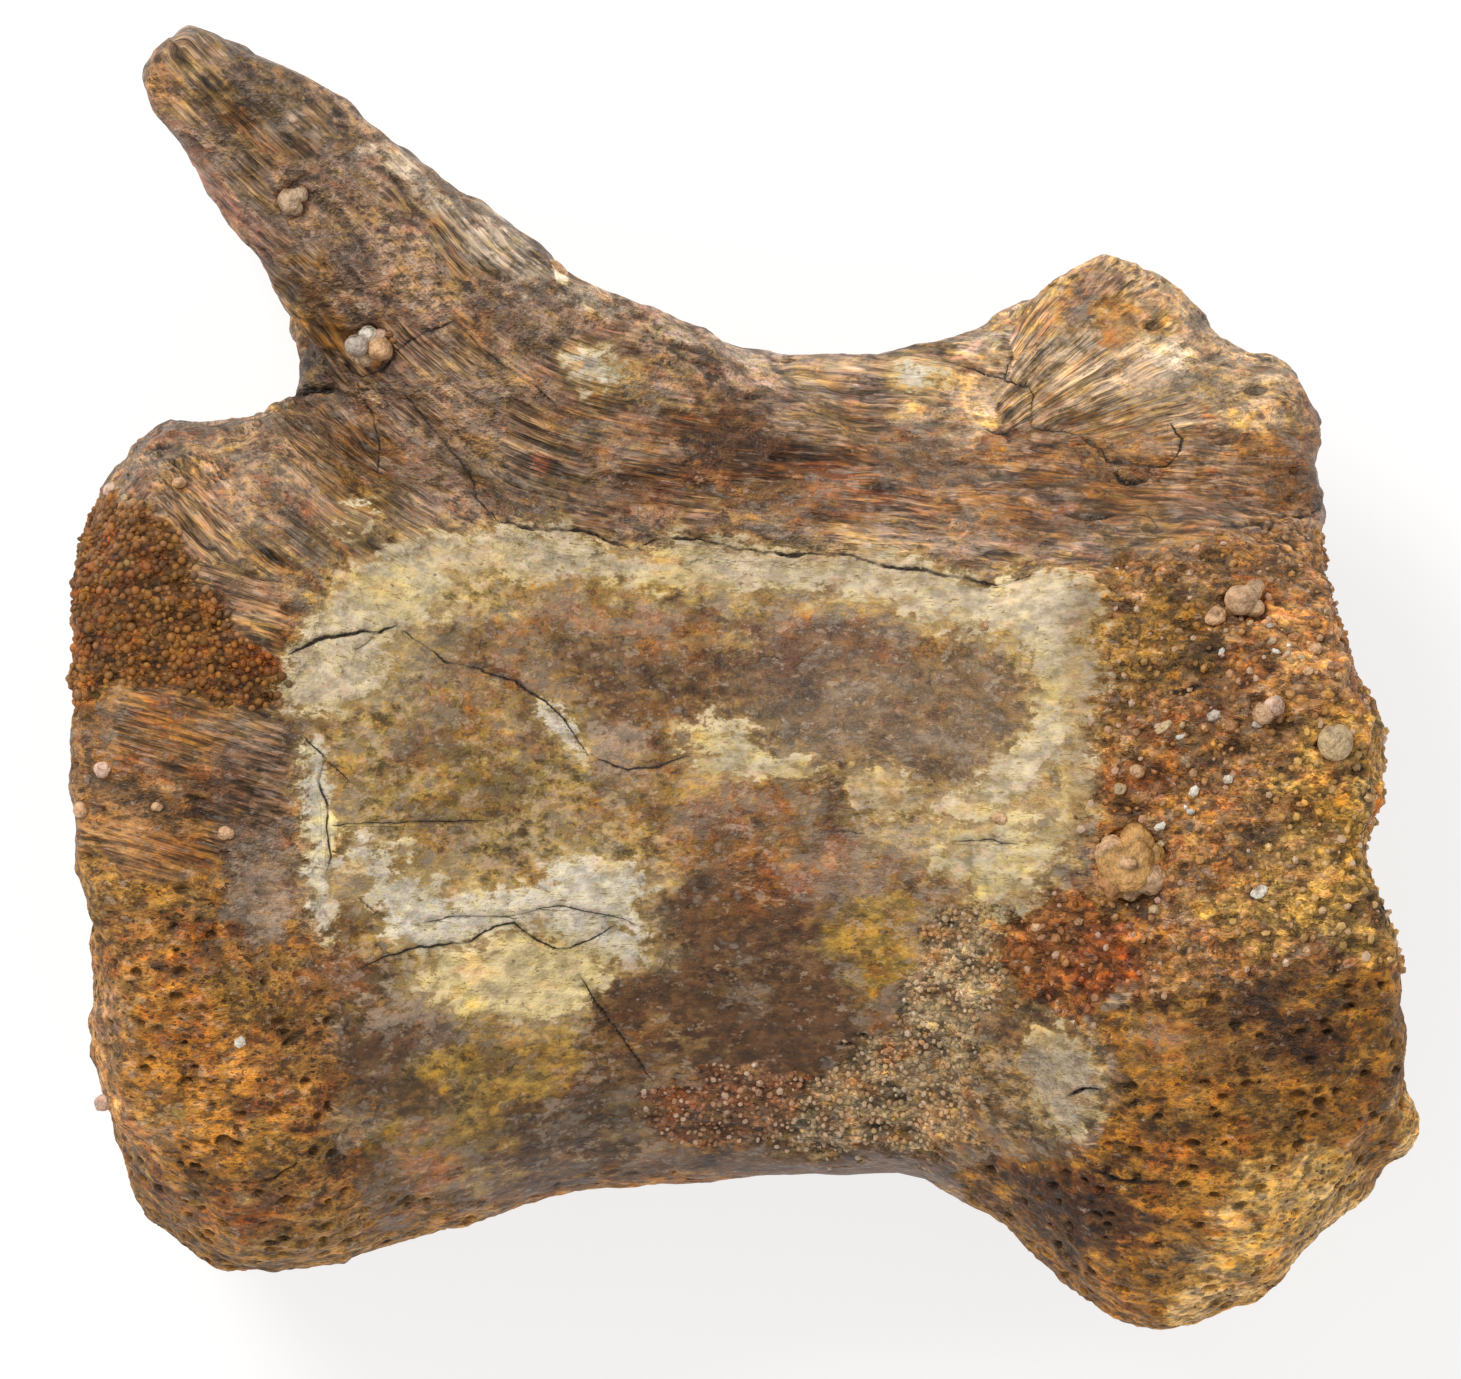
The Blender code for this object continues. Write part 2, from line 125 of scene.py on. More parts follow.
PINK_FIBRE = Finish((0.400, 0.250, 0.158), Texture.FIBROUS, dark=0.2, pale=0.4, ochre=0.2, rust=0.3)
DORSAL_FIBRE = Finish((0.330, 0.215, 0.133), Texture.FIBROUS, dark=0.35, pale=0.22, ochre=0.3, rust=0.3)
FRONT_FIBRE = Finish((0.310, 0.155, 0.055), Texture.FIBROUS, dark=0.3, pale=0.2, ochre=0.35, rust=0.2)
BLUE_GREY = Finish((0.232, 0.122, 0.065), Texture.FIBROUS, dark=0.30, pale=0.38, ochre=0.2, rust=0.1)
ARCH_TAN = Finish((0.296, 0.143, 0.054), Texture.FIBROUS, dark=0.28, pale=0.3, ochre=0.3, rust=0.25)
ARCH_RUST = Finish((0.172, 0.080, 0.031), Texture.FIBROUS, dark=0.35, pale=0.2, ochre=0.3, rust=0.35)
STUMP = Finish((0.610, 0.420, 0.250), Texture.FIBROUS, dark=0.25, pale=0.4, ochre=0.3, rust=0.2)
# Pale colour of the saddle's edge, with a painted highlight where light falls on it from above.
SADDLE_PALE_AND_LIT = Finish((0.540, 0.430, 0.380), Texture.FIBROUS, dark=0.12, pale=0.3, ochre=0.35, rust=0.35)
SPONGY = Finish((0.358, 0.186, 0.040), Texture.SPONGY, dark=0.3, pale=0.22, ochre=0.35, rust=0.25)
RED_SPONGY = Finish((0.390, 0.165, 0.040), Texture.SPONGY, dark=0.35, pale=0.2, ochre=0.3, rust=0.3)
YELLOW_SPONGY = Finish((0.465, 0.220, 0.049), Texture.SPONGY, dark=0.28, pale=0.35, ochre=0.5, rust=0.2)
PINK_SPONGY = Finish((0.560, 0.310, 0.140), Texture.SPONGY, dark=0.2, pale=0.35, ochre=0.2, rust=0.35)
TAN_RIM = Finish((0.288, 0.140, 0.025), Texture.SPONGY, dark=0.2, pale=0.3, ochre=0.45, rust=0.15)
CRUST = Finish((0.213, 0.094, 0.020), Texture.GRITTY, dark=0.3, pale=0.05, ochre=0.4, rust=0.35)
INNER = Finish((0.186, 0.104, 0.038), Texture.SMOOTH, dark=0.35, pale=0.40, ochre=0.4, rust=0.3)
BROWN_SMOOTH = Finish((0.143, 0.066, 0.024), Texture.SMOOTH, dark=0.2, pale=0.2, ochre=0.2, rust=0.15)
GREY_SMOOTH = Finish((0.178, 0.103, 0.044), Texture.SMOOTH, dark=0.05, pale=0.15, ochre=0.1, rust=0.05)
OCHRE_BROWN = Finish((0.262, 0.185, 0.105), Texture.SMOOTH, dark=0.3, pale=0.3, ochre=0.35, rust=0.45)
OCHRE = Finish((0.380, 0.285, 0.130), Texture.SMOOTH, dark=0.32, pale=0.42, ochre=0.5, rust=0.3)
MUSTARD = Finish((0.345, 0.235, 0.085), Texture.SMOOTH, dark=0.25, pale=0.15, ochre=0.6, rust=0.15)
RUST_BROWN = Finish((0.194, 0.088, 0.029), Texture.SMOOTH, dark=0.35, pale=0.25, ochre=0.35, rust=0.5)
DARK_BROWN = Finish((0.120, 0.054, 0.020), Texture.SMOOTH, dark=0.15, pale=0.12, ochre=0.15, rust=0.12)
SLATE = Finish((0.088, 0.041, 0.012), Texture.SMOOTH, dark=0.3, pale=0.3, ochre=0.2, rust=0.2)
RED_SAND = Finish((0.300, 0.150, 0.075), Texture.SANDY, dark=0.3, pale=0.25, ochre=0.2, rust=0.5)
VIOLET_WHITE = Finish((0.235, 0.140, 0.082), Texture.SMOOTH, dark=0.2, pale=0.6, ochre=0.15, rust=0.15)
CREAM = Finish((0.560, 0.463, 0.322), Texture.CHALKY, dark=0.1, pale=0.25, ochre=0.2, rust=0.08)
YELLOW_CREAM = Finish((0.500, 0.420, 0.278), Texture.CHALKY, dark=0.12, pale=0.25, ochre=0.35, rust=0.12)
CHALK_WHITE = Finish((0.680, 0.620, 0.520), Texture.CHALKY, dark=0.15, pale=0.5, ochre=0.15, rust=0.08)
GREY_CREAM = Finish((0.370, 0.290, 0.205), Texture.CHALKY, dark=0.25, pale=0.3, ochre=0.25, rust=0.25)
TAN_PATCH = Finish((0.735, 0.590, 0.310), Texture.CHALKY, dark=0.02, pale=0.05, ochre=0.1, rust=0.02)
SAND = Finish((0.400, 0.288, 0.155), Texture.SANDY, dark=0.2, pale=0.35, ochre=0.15, rust=0.3)
CHIP = Finish((0.250, 0.143, 0.050), Texture.CHALKY, dark=0.35, pale=0.45, ochre=0.3, rust=0.1)
RUST = Finish((0.340, 0.133, 0.032), Texture.CRYSTALLINE, dark=0.25, pale=0.2, ochre=0.3, rust=0.4)
REAR_RUST = Finish((0.440, 0.225, 0.072), Texture.CRYSTALLINE, dark=0.35, pale=0.38, ochre=0.3, rust=0.35)
OLIVE = Finish((0.322, 0.176, 0.038), Texture.CRYSTALLINE, dark=0.35, pale=0.2, ochre=0.45, rust=0.15)
ORANGE_ROUGH = Finish((0.580, 0.365, 0.148), Texture.CRYSTALLINE, dark=0.12, pale=0.35, ochre=0.25, rust=0.45)
REAR_OCHRE = Finish((0.690, 0.450, 0.170), Texture.CRYSTALLINE, dark=0.32, pale=0.12, ochre=0.5, rust=0.25)
DARK_ROUGH = Finish((0.130, 0.044, 0.006), Texture.SPONGY, dark=0.45, pale=0.1, ochre=0.3, rust=0.3)
HEEL_OCHRE = Finish((0.365, 0.174, 0.027), Texture.SPONGY, dark=0.3, pale=0.12, ochre=0.45, rust=0.2)
HALO_OCHRE = Finish((0.345, 0.262, 0.162), Texture.SMOOTH, dark=0.32, pale=0.45, ochre=0.45, rust=0.2)
SALMON = Finish((0.400, 0.142, 0.037), Texture.SMOOTH, dark=0.15, pale=0.35, ochre=0.2, rust=0.3)
GREY_WHITE = Finish((0.275, 0.148, 0.055), Texture.FIBROUS, dark=0.3, pale=0.5, ochre=0.1, rust=0.05)
SCUFF = Finish((0.620, 0.490, 0.350), Texture.FIBROUS, dark=0.25, pale=0.5, ochre=0.1, rust=0.05)
BLACK_BROWN = Finish((0.098, 0.028, 0.004), Texture.SPONGY, dark=0.5, pale=0.1, ochre=0.25, rust=0.1)
CLEAN_OCHRE = Finish((0.295, 0.160, 0.033), Texture.SMOOTH, dark=0.2, pale=0.15, ochre=0.35, rust=0.35)
REAR_PALE = Finish((0.890, 0.565, 0.230), Texture.SPONGY, dark=0.2, pale=0.35, ochre=0.35, rust=0.15)
BELLY_DARK = Finish((0.108, 0.038, 0.008), Texture.SMOOTH, dark=0.2, pale=0.1, ochre=0.2, rust=0.2)
DEEP_FIBRE = Finish((0.066, 0.034, 0.018), Texture.FIBROUS, dark=0.5, pale=0.2, ochre=0.2, rust=0.2)
LICHEN_RED = Finish((0.760, 0.250, 0.110), Texture.FIBROUS, dark=0.1, pale=0.2, ochre=0.1, rust=0.3)
PEACH = Finish((0.920, 0.780, 0.600), Texture.SMOOTH, dark=0.0, pale=0.2, ochre=0.1, rust=0.1)

# Colours that the flecks turn a tone towards
DARK_SHADE = 0.30
PALE_FLECK = np.array((0.600, 0.480, 0.370), np.float32)
OCHRE_TINT = np.array((1.12, 1.04, 0.70), np.float32)
RUST_TINT = np.array((1.04, 0.85, 0.72), np.float32)
PORE_DARK = (0.060, 0.024, 0.009, 1.0)

# Patches of the bone itself, painted in this order
GROUND: tuple[Stain, ...] = (
    Stain("front end, spongy", SPONGY,
          ((60, 480), (60, 1300), (330, 1300), (480, 1235), (430, 1160), (360, 1090), (340, 960),
           (310, 900), (250, 840), (230, 740), (260, 700), (250, 600), (170, 500)), soft=1.2, ragged=1.5),
    Stain("front lip, fibrous", DORSAL_FIBRE,
          ((90, 490), (150, 420), (200, 430), (300, 395), (370, 400), (410, 470), (420, 535), (330, 600),
           (298, 668), (240, 650), (190, 610), (180, 505)), soft=0.6, ragged=1.2),
    Stain("front lip, pink streak", PINK_FIBRE,
          ((150, 465), (300, 450), (370, 480), (340, 515), (230, 510), (170, 500)),
           soft=1.0, ragged=2.0, strength=0.7),
    Stain("front lip, dark streak", DARK_FIBRE,
          ((270, 540), (380, 520), (400, 540), (340, 575), (290, 600), (260, 570)),
           soft=0.8, ragged=1.5, strength=0.35),
    Stain("front crust", CRUST,
          ((60, 520), (95, 500), (168, 512), (190, 555), (208, 592), (245, 628), (290, 668), (292, 700),
           (262, 722), (225, 712), (190, 684), (140, 676), (105, 698), (60, 728), (50, 640)),
          soft=0.5, ragged=1.0),
    Stain("front fibres", FRONT_FIBRE,
          ((60, 732), (105, 702), (140, 680), (190, 690), (225, 716), (262, 728), (290, 760), (300, 860),
           (262, 905), (215, 860), (150, 875), (100, 840), (60, 860)), soft=0.6, ragged=1.0),
    Stain("front, blue grey", BLUE_GREY,
          ((225, 725), (290, 700), (312, 760), (318, 860), (300, 940), (265, 930), (235, 860), (215, 790)),
           soft=0.8, ragged=1.8),
    Stain("front, pale flecks", VIOLET_WHITE,
          ((245, 870), (300, 840), (312, 900), (290, 945), (250, 920)), soft=0.6, ragged=1.8, strength=0.6),
    Stain("front, red band", RED_SPONGY,
          ((95, 930), (200, 925), (262, 930), (268, 960), (180, 980), (95, 975)),
           soft=0.8, ragged=1.5, strength=0.8),
    Stain("front, yellow sponge", YELLOW_SPONGY,
          ((120, 1010), (200, 985), (250, 1010), (262, 1080), (240, 1160), (190, 1165), (140, 1120)),
           soft=1.0, ragged=2.0),
    Stain("front, low red", RED_SPONGY,
          ((255, 1010), (335, 1010), (350, 1080), (330, 1150), (230, 1185), (210, 1215), (330, 1210),
           (390, 1160), (350, 1190), (260, 1100)), soft=0.8, ragged=2.0, strength=0.8),
    Stain("front, pink edge", PINK_SPONGY,
          ((90, 990), (125, 985), (150, 1080), (170, 1170), (140, 1160), (100, 1080)),
           soft=0.8, ragged=1.0, strength=0.7),
    Stain("underside rim, tan", TAN_RIM,
          ((170, 1205), (260, 1248), (380, 1238), (440, 1212), (470, 1225), (380, 1290), (200, 1300),
           (150, 1240)), soft=0.8, ragged=0.8),
    Stain("side, inner surface", INNER,
          ((290, 700), (330, 600), (400, 545), (620, 555), (860, 575), (1010, 570), (1095, 600),
           (1092, 800), (1060, 900), (1100, 1000), (1100, 1130), (1000, 1170), (850, 1190), (450, 1210),
           (390, 1160), (360, 1080), (345, 960), (322, 880), (312, 760)), soft=0.6, ragged=1.0),
    Stain("side, brown", BROWN_SMOOTH,
          ((480, 625), (600, 600), (760, 615), (900, 640), (960, 690), (900, 750), (780, 740), (640, 720),
           (540, 680)), soft=1.2, ragged=1.5, strength=0.97),
    Stain("side, grey", GREY_SMOOTH,
          ((700, 700), (860, 660), (980, 650), (1035, 690), (1025, 750), (975, 790), (900, 802),
           (850, 770), (780, 750)), soft=1.5, ragged=1.5, strength=0.97),
    Stain("side, upper ochre", OCHRE_BROWN,
          ((425, 640), (500, 590), (640, 598), (740, 615), (700, 655), (600, 640), (560, 665), (480, 675)),
           soft=1.0, ragged=2.5, strength=0.85),
    Stain("side, upper yellow seam", MUSTARD,
          ((560, 582), (720, 590), (860, 598), (950, 618), (860, 622), (700, 606), (580, 600)),
           soft=0.6, ragged=1.5, strength=0.6),
    Stain("side, front ochre", OCHRE,
          ((330, 720), (400, 680), (520, 700), (600, 760), (700, 790), (720, 860), (640, 880), (520, 845),
           (400, 850), (345, 830)), soft=1.2, ragged=3.0, strength=0.8),
    Stain("side, front brown", OCHRE_BROWN,
          ((380, 640), (470, 660), (560, 710), (540, 760), (440, 760), (380, 720)),
           soft=1.2, ragged=2.0, strength=0.7),
    Stain("side, middle ochre", OCHRE,
          ((600, 770), (720, 770), (860, 830), (870, 870), (760, 880), (650, 850)),
           soft=1.0, ragged=2.5, strength=0.6),
    Stain("side, middle rust", RUST_BROWN,
          ((640, 810), (760, 790), (860, 820), (880, 870), (820, 900), (700, 900), (640, 870)),
           soft=1.2, ragged=3.0, strength=0.6),
    Stain("side, dark brown", DARK_BROWN,
          ((620, 930), (700, 880), (800, 890), (840, 940), (870, 1000), (850, 1060), (760, 1095),
           (640, 1085), (600, 1020), (590, 960)), soft=1.0, ragged=2.0, strength=0.97),
    Stain("side, mustard", MUSTARD,
          ((835, 905), (880, 880), (915, 930), (895, 985), (850, 975), (825, 940)),
           soft=1.0, ragged=1.8, strength=0.9),
    Stain("side, low ochre", MUSTARD,
          ((370, 1110), (430, 1040), (560, 1015), (585, 1060), (520, 1120), (505, 1170), (440, 1185),
           (380, 1160)), soft=0.8, ragged=2.2, strength=0.9),
    Stain("side, low grey", SLATE,
          ((505, 1110), (600, 1075), (650, 1100), (640, 1150), (560, 1170), (505, 1165)),
           soft=0.8, ragged=1.8, strength=0.85),
    Stain("side, low red sand", RED_SAND,
          ((650, 1080), (760, 1070), (840, 1100), (800, 1150), (700, 1150), (650, 1120)),
           soft=0.8, ragged=1.8, strength=0.8),
    Stain("side, front violet", VIOLET_WHITE,
          ((380, 985), (440, 985), (470, 1020), (430, 1045), (385, 1030)),
           soft=0.8, ragged=2.0, strength=0.7),
    Stain("belly, dark band", BELLY_DARK,
          ((500, 1175), (700, 1150), (860, 1135), (950, 1150), (960, 1185), (700, 1200), (500, 1200)),
           soft=0.5, ragged=1.0, strength=0.8),
    Stain("belly, pale edge", YELLOW_SPONGY,
          ((430, 1215), (520, 1190), (640, 1172), (740, 1172), (740, 1200), (430, 1250)),
           soft=0.5, ragged=0.6, strength=0.8),
    Stain("halo inside the cream rim", HALO_OCHRE,
          ((330, 600), (420, 545), (620, 560), (860, 578), (1010, 590), (1090, 620), (1090, 820),
           (1000, 880), (880, 850), (830, 800), (930, 800), (1005, 770), (1030, 700), (1010, 650),
           (930, 620), (760, 605), (560, 600), (480, 610), (430, 650), (400, 720), (330, 740)),
          soft=1.4, ragged=1.8, strength=0.9),
    Stain("front chalk, ochre ground", HALO_OCHRE,
          ((345, 830), (420, 800), (560, 820), (660, 830), (690, 900), (640, 970), (560, 1020), (440, 1020),
           (370, 960)), soft=1.2, ragged=2.2, strength=0.75),
    Stain("side, lilac front", VIOLET_WHITE,
          ((375, 985), (445, 985), (450, 1055), (400, 1060), (375, 1030)), soft=1.0, ragged=2.0, strength=0.55),
    Stain("side, dark brown front", DARK_BROWN,
          ((365, 1050), (430, 1045), (450, 1085), (400, 1110), (360, 1090)),
          soft=0.8, ragged=2.0, strength=0.8),
    Stain("side, lower white streaks", GREY_WHITE,
          ((340, 1095), (385, 1090), (395, 1130), (350, 1145), (325, 1120)),
          soft=0.6, ragged=1.8, strength=0.7),
    Stain("side, low salmon", SALMON,
          ((395, 1135), (440, 1130), (450, 1170), (405, 1180)), soft=0.8, ragged=1.8, strength=0.7),
    Stain("side, front salmon", SALMON,
          ((305, 945), (365, 940), (380, 985), (330, 1000), (300, 980)), soft=0.8, ragged=1.8, strength=0.5),
    Stain("side, low slate by the rim", SLATE,
          ((365, 1155), (405, 1150), (415, 1205), (385, 1220), (360, 1190)),
          soft=0.8, ragged=1.5, strength=0.6),
    Stain("side, grey cloud in the dark", SLATE,
          ((690, 975), (770, 970), (780, 1010), (730, 1025), (690, 1010)), soft=1.0, ragged=1.5, strength=0.25),
    Stain("violet splinter", VIOLET_WHITE,
          ((565, 705), (610, 715), (650, 735), (640, 765), (600, 757)), soft=0.4, ragged=0.8, strength=0.8),
    Stain("sandy band", SAND,
          ((925, 905), (995, 905), (1000, 960), (970, 1000), (985, 1050), (960, 1100), (1000, 1150),
           (900, 1155), (800, 1140), (780, 1110), (850, 1060), (900, 1010), (900, 960)),
           soft=0.4, ragged=1.5),
    Stain("sandy rim of the inner surface", SAND,
          ((770, 1105), (850, 1090), (900, 1110), (860, 1150), (780, 1140)), soft=0.5, ragged=1.5),
    Stain("red sand", RED_SAND,
          ((700, 1060), (780, 1055), (800, 1095), (740, 1110), (700, 1095)), soft=0.8, ragged=1.5, strength=0.8),
    Stain("orange sand", REAR_RUST,
          ((905, 1065), (990, 1060), (1010, 1130), (940, 1150), (900, 1110)),
          soft=0.8, ragged=1.8, strength=0.35),
    Stain("rust patch", RUST,
          ((990, 915), (1080, 880), (1135, 905), (1150, 960), (1110, 1000), (1020, 1005), (990, 970)),
           soft=0.8, ragged=1.8),
    Stain("rounded chip", CHIP,
          ((975, 1008), (1050, 1000), (1098, 1040), (1108, 1090), (1080, 1130), (1010, 1140), (970, 1100)),
           soft=0.3, ragged=0.6),
    Stain("rounded chip, dark top", DARK_BROWN,
          ((978, 1010), (1060, 1005), (1075, 1030), (1000, 1040)), soft=0.4, ragged=0.8, strength=0.95),
    Stain("rear, rough rust", REAR_RUST,
          ((1092, 570), (1200, 540), (1330, 520), (1420, 700), (1440, 1000), (1300, 1030), (1120, 1010),
           (1140, 965), (1108, 930), (1072, 900), (1088, 862), (1064, 835), (1092, 800), (1096, 758),
           (1074, 725), (1090, 680), (1102, 625)), soft=0.5, ragged=0.9),
    Stain("rear, olive", OLIVE,
          ((1092, 600), (1180, 590), (1205, 650), (1150, 690), (1090, 690)),
           soft=0.8, ragged=2.0, strength=0.8),
    Stain("rear, orange crystals", ORANGE_ROUGH,
          ((1240, 600), (1330, 600), (1350, 690), (1270, 690)), soft=0.8, ragged=1.5, strength=0.9),
    Stain("rear, ochre edge", REAR_OCHRE,
          ((1260, 760), (1340, 700), (1400, 700), (1400, 960), (1300, 950), (1180, 930), (1160, 880),
           (1260, 850)), soft=1.0, ragged=2.0, strength=0.85),
    Stain("rear heel, ochre", HEEL_OCHRE,
          ((1090, 1002), (1200, 985), (1430, 940), (1450, 1120), (1380, 1260), (1150, 1360), (1060, 1290),
           (940, 1180), (985, 1158), (1050, 1150), (1092, 1132), (1112, 1095), (1106, 1045)),
          soft=0.5, ragged=0.8),
    # Painted shade under the overhanging heel, in a reddish dark brown.
    Stain("rear heel, painted shade under the foot", DARK_ROUGH,
          ((960, 1165), (1090, 1150), (1160, 1200), (1130, 1260), (1040, 1220)),
           soft=1.0, ragged=2.0, strength=0.85),
    Stain("rear, dark grains", DARK_ROUGH,
          ((1130, 975), (1230, 990), (1330, 1000), (1320, 1085), (1240, 1060), (1160, 1020)),
           soft=1.0, ragged=2.0, strength=0.8),
    Stain("rear heel, clean ochre", CLEAN_OCHRE,
          ((1108, 1012), (1160, 1005), (1225, 1040), (1220, 1075), (1150, 1070), (1110, 1045)),
          soft=0.8, ragged=1.5, strength=0.7),
    Stain("rear, blackened pores", BLACK_BROWN,
          ((1185, 985), (1245, 985), (1290, 1020), (1330, 1015), (1335, 1055), (1290, 1055), (1235, 1045)),
          soft=0.9, ragged=2.2, strength=0.7),
    # Painted deep shade in the darkest part under the overhanging heel.
    Stain("rear heel, painted deep shade under the foot", BLACK_BROWN,
          ((1040, 1195), (1105, 1190), (1120, 1240), (1080, 1260), (1040, 1240)),
          soft=1.0, ragged=2.0, strength=0.6),
    Stain("rear heel, grey swirl", GREY_WHITE,
          ((1170, 1235), (1215, 1230), (1240, 1270), (1205, 1290), (1170, 1265)),
          soft=0.8, ragged=1.8, strength=0.6),
    Stain("rear heel, upper grey swirl", GREY_WHITE,
          ((1198, 1178), (1245, 1180), (1245, 1220), (1205, 1215)), soft=0.8, ragged=1.5, strength=0.3),
    Stain("rear heel, pale edge", REAR_PALE,
          ((1235, 1165), (1340, 1150), (1360, 1200), (1260, 1300), (1180, 1345), (1165, 1300),
           (1215, 1225)), soft=1.0, ragged=1.8, strength=0.85),
    Stain("knob", REAR_PALE,
          ((1385, 1080), (1440, 1090), (1440, 1140), (1400, 1160), (1375, 1120)), soft=0.5, ragged=0.8),
    Stain("arch, rear tan", ARCH_TAN,
          ((880, 400), (960, 340), (1100, 240), (1340, 340), (1345, 530), (1100, 525), (950, 520),
           (880, 470)), soft=1.2, ragged=2.0),
    Stain("stump", STUMP,
          ((960, 330), (1100, 240), (1190, 260), (1250, 350), (1320, 350), (1310, 410), (1150, 430),
           (1020, 400)), soft=1.0, ragged=2.0, strength=0.8),
    Stain("stump, red", RED_FIBRE,
          ((1070, 275), (1130, 268), (1120, 315), (1060, 320)), soft=0.8, ragged=1.5, strength=0.5),
    Stain("stump, pale", PALE_FIBRE,
          ((1040, 350), (1150, 335), (1200, 360), (1120, 385), (1040, 375)),
           soft=0.8, ragged=2.0, strength=0.7),
    Stain("arch, rust", ARCH_RUST,
          ((600, 440), (760, 430), (900, 440), (920, 510), (760, 530), (600, 515)), soft=1.2, ragged=2.5),
    Stain("arch, dark middle", DARK_FIBRE,
          ((470, 400), (560, 420), (640, 400), (760, 380), (900, 410), (880, 440), (700, 430), (560, 470),
           (480, 460)), soft=1.0, ragged=2.5, strength=0.2),
    Stain("arch, foot dark", DARK_FIBRE,
          ((940, 545), (1030, 525), (1090, 540), (1010, 568), (950, 572)),
           soft=0.6, ragged=1.5, strength=0.3),
    Stain("arch, foot ochre", OCHRE_FIBRE,
          ((930, 500), (1100, 495), (1190, 510), (1150, 535), (1000, 525)),
           soft=0.6, ragged=1.8, strength=0.7),
    Stain("arch, pale laminated streaks", PALE_FIBRE,
          ((940, 388), (1035, 385), (1035, 425), (945, 425)), soft=0.6, ragged=1.5, strength=0.6),
    Stain("stump, orange flecks", CLEAN_OCHRE,
          ((1095, 310), (1130, 305), (1130, 340), (1095, 345)), soft=0.6, ragged=1.5, strength=0.6),
    Stain("stump, grey scuff", SCUFF,
          ((1150, 335), (1195, 335), (1195, 372), (1155, 372)), soft=0.7, ragged=1.5, strength=0.6),
    Stain("stump, front grey scuff", SCUFF,
          ((1035, 335), (1085, 332), (1080, 358), (1035, 360)), soft=0.6, ragged=1.5, strength=0.6),
    Stain("arch, red flecks", PALE_FIBRE,
          ((1080, 382), (1185, 384), (1180, 402), (1085, 400)), soft=0.6, ragged=1.8, strength=0.5),
    Stain("arch, grey front patches", PINK_FIBRE,
          ((430, 430), (520, 430), (560, 480), (500, 500), (440, 480)), soft=0.9, ragged=2.2, strength=0.3),
    Stain("arch, dark rust patch", DARK_BROWN,
          ((560, 475), (640, 480), (650, 510), (570, 510)), soft=0.7, ragged=2.2, strength=0.5),
    Stain("arch, rear grey patches", GREY_WHITE,
          ((850, 525), (925, 530), (930, 560), (860, 560)), soft=0.6, ragged=2.2, strength=0.1),
    # Pale band along the saddle's upper edge: partly its own colour, partly a painted highlight from the light above.
    Stain("saddle top, pale and painted light", SADDLE_PALE_AND_LIT,
          ((600, 300), (740, 350), (860, 362), (980, 338), (1060, 290), (1075, 310), (970, 368),
           (860, 392), (760, 378), (640, 335)), soft=0.5, ragged=1.0),
    Stain("pale streaks on the arch", PALE_FIBRE,
          ((880, 395), (1025, 385), (1025, 415), (900, 425)), soft=0.5, ragged=2.0, strength=0.7),
    Stain("process", PROCESS_BROWN,
          ((140, 20), (240, 40), (430, 150), (620, 300), (620, 420), (500, 470), (420, 500), (300, 400),
           (280, 280), (150, 110)), soft=1.5, ragged=1.5),
    Stain("process tip", TIP_DARK,
          ((140, 80), (180, 30), (260, 60), (300, 120), (275, 175), (215, 170), (170, 130)),
           soft=1.2, ragged=1.5, strength=0.85),
    Stain("process, dark core of the tip", DEEP_FIBRE,
          ((205, 80), (240, 100), (250, 140), (225, 150), (205, 120)), soft=0.6, ragged=1.0, strength=0.8),
    Stain("process, red front edge", RED_FIBRE,
          ((175, 125), (205, 135), (250, 205), (290, 275), (262, 285), (215, 210)),
           soft=0.5, ragged=0.8, strength=0.8),
    Stain("process, blue grey streak", BLUE_GREY,
          ((285, 195), (325, 210), (375, 290), (400, 340), (360, 335), (305, 265)),
           soft=0.8, ragged=1.8, strength=0.75),
    Stain("process, mustard", OCHRE_FIBRE,
          ((285, 270), (340, 280), (355, 330), (320, 370), (292, 330)), soft=0.8, ragged=1.5, strength=0.8),
    Stain("process, grey rear edge", SCUFF,
          ((375, 130), (450, 190), (560, 275), (640, 330), (600, 340), (520, 290), (420, 210)),
           soft=0.8, ragged=1.8, strength=0.8),
    Stain("process, peach scrap", PEACH,
          ((545, 262), (560, 260), (572, 282), (560, 286)), soft=0.15, ragged=0.3),
    Stain("process root, dark", DEEP_FIBRE,
          ((298, 345), (350, 340), (372, 385), (330, 398), (295, 395)), soft=0.6, ragged=1.0, strength=0.8),
    Stain("process root, crumbled", OCHRE_FIBRE,
          ((350, 425), (385, 440), (400, 470), (400, 505), (360, 500), (345, 460)),
           soft=0.5, ragged=1.0, strength=0.6),
    Stain("red lichen spot", LICHEN_RED,
          ((532, 458), (550, 456), (552, 474), (536, 476)), soft=0.3, ragged=0.4, strength=0.8),
    Stain("second red spot", SALMON,
          ((594, 446), (610, 448), (610, 462), (596, 462)), soft=0.3, ragged=0.4, strength=0.8),
)

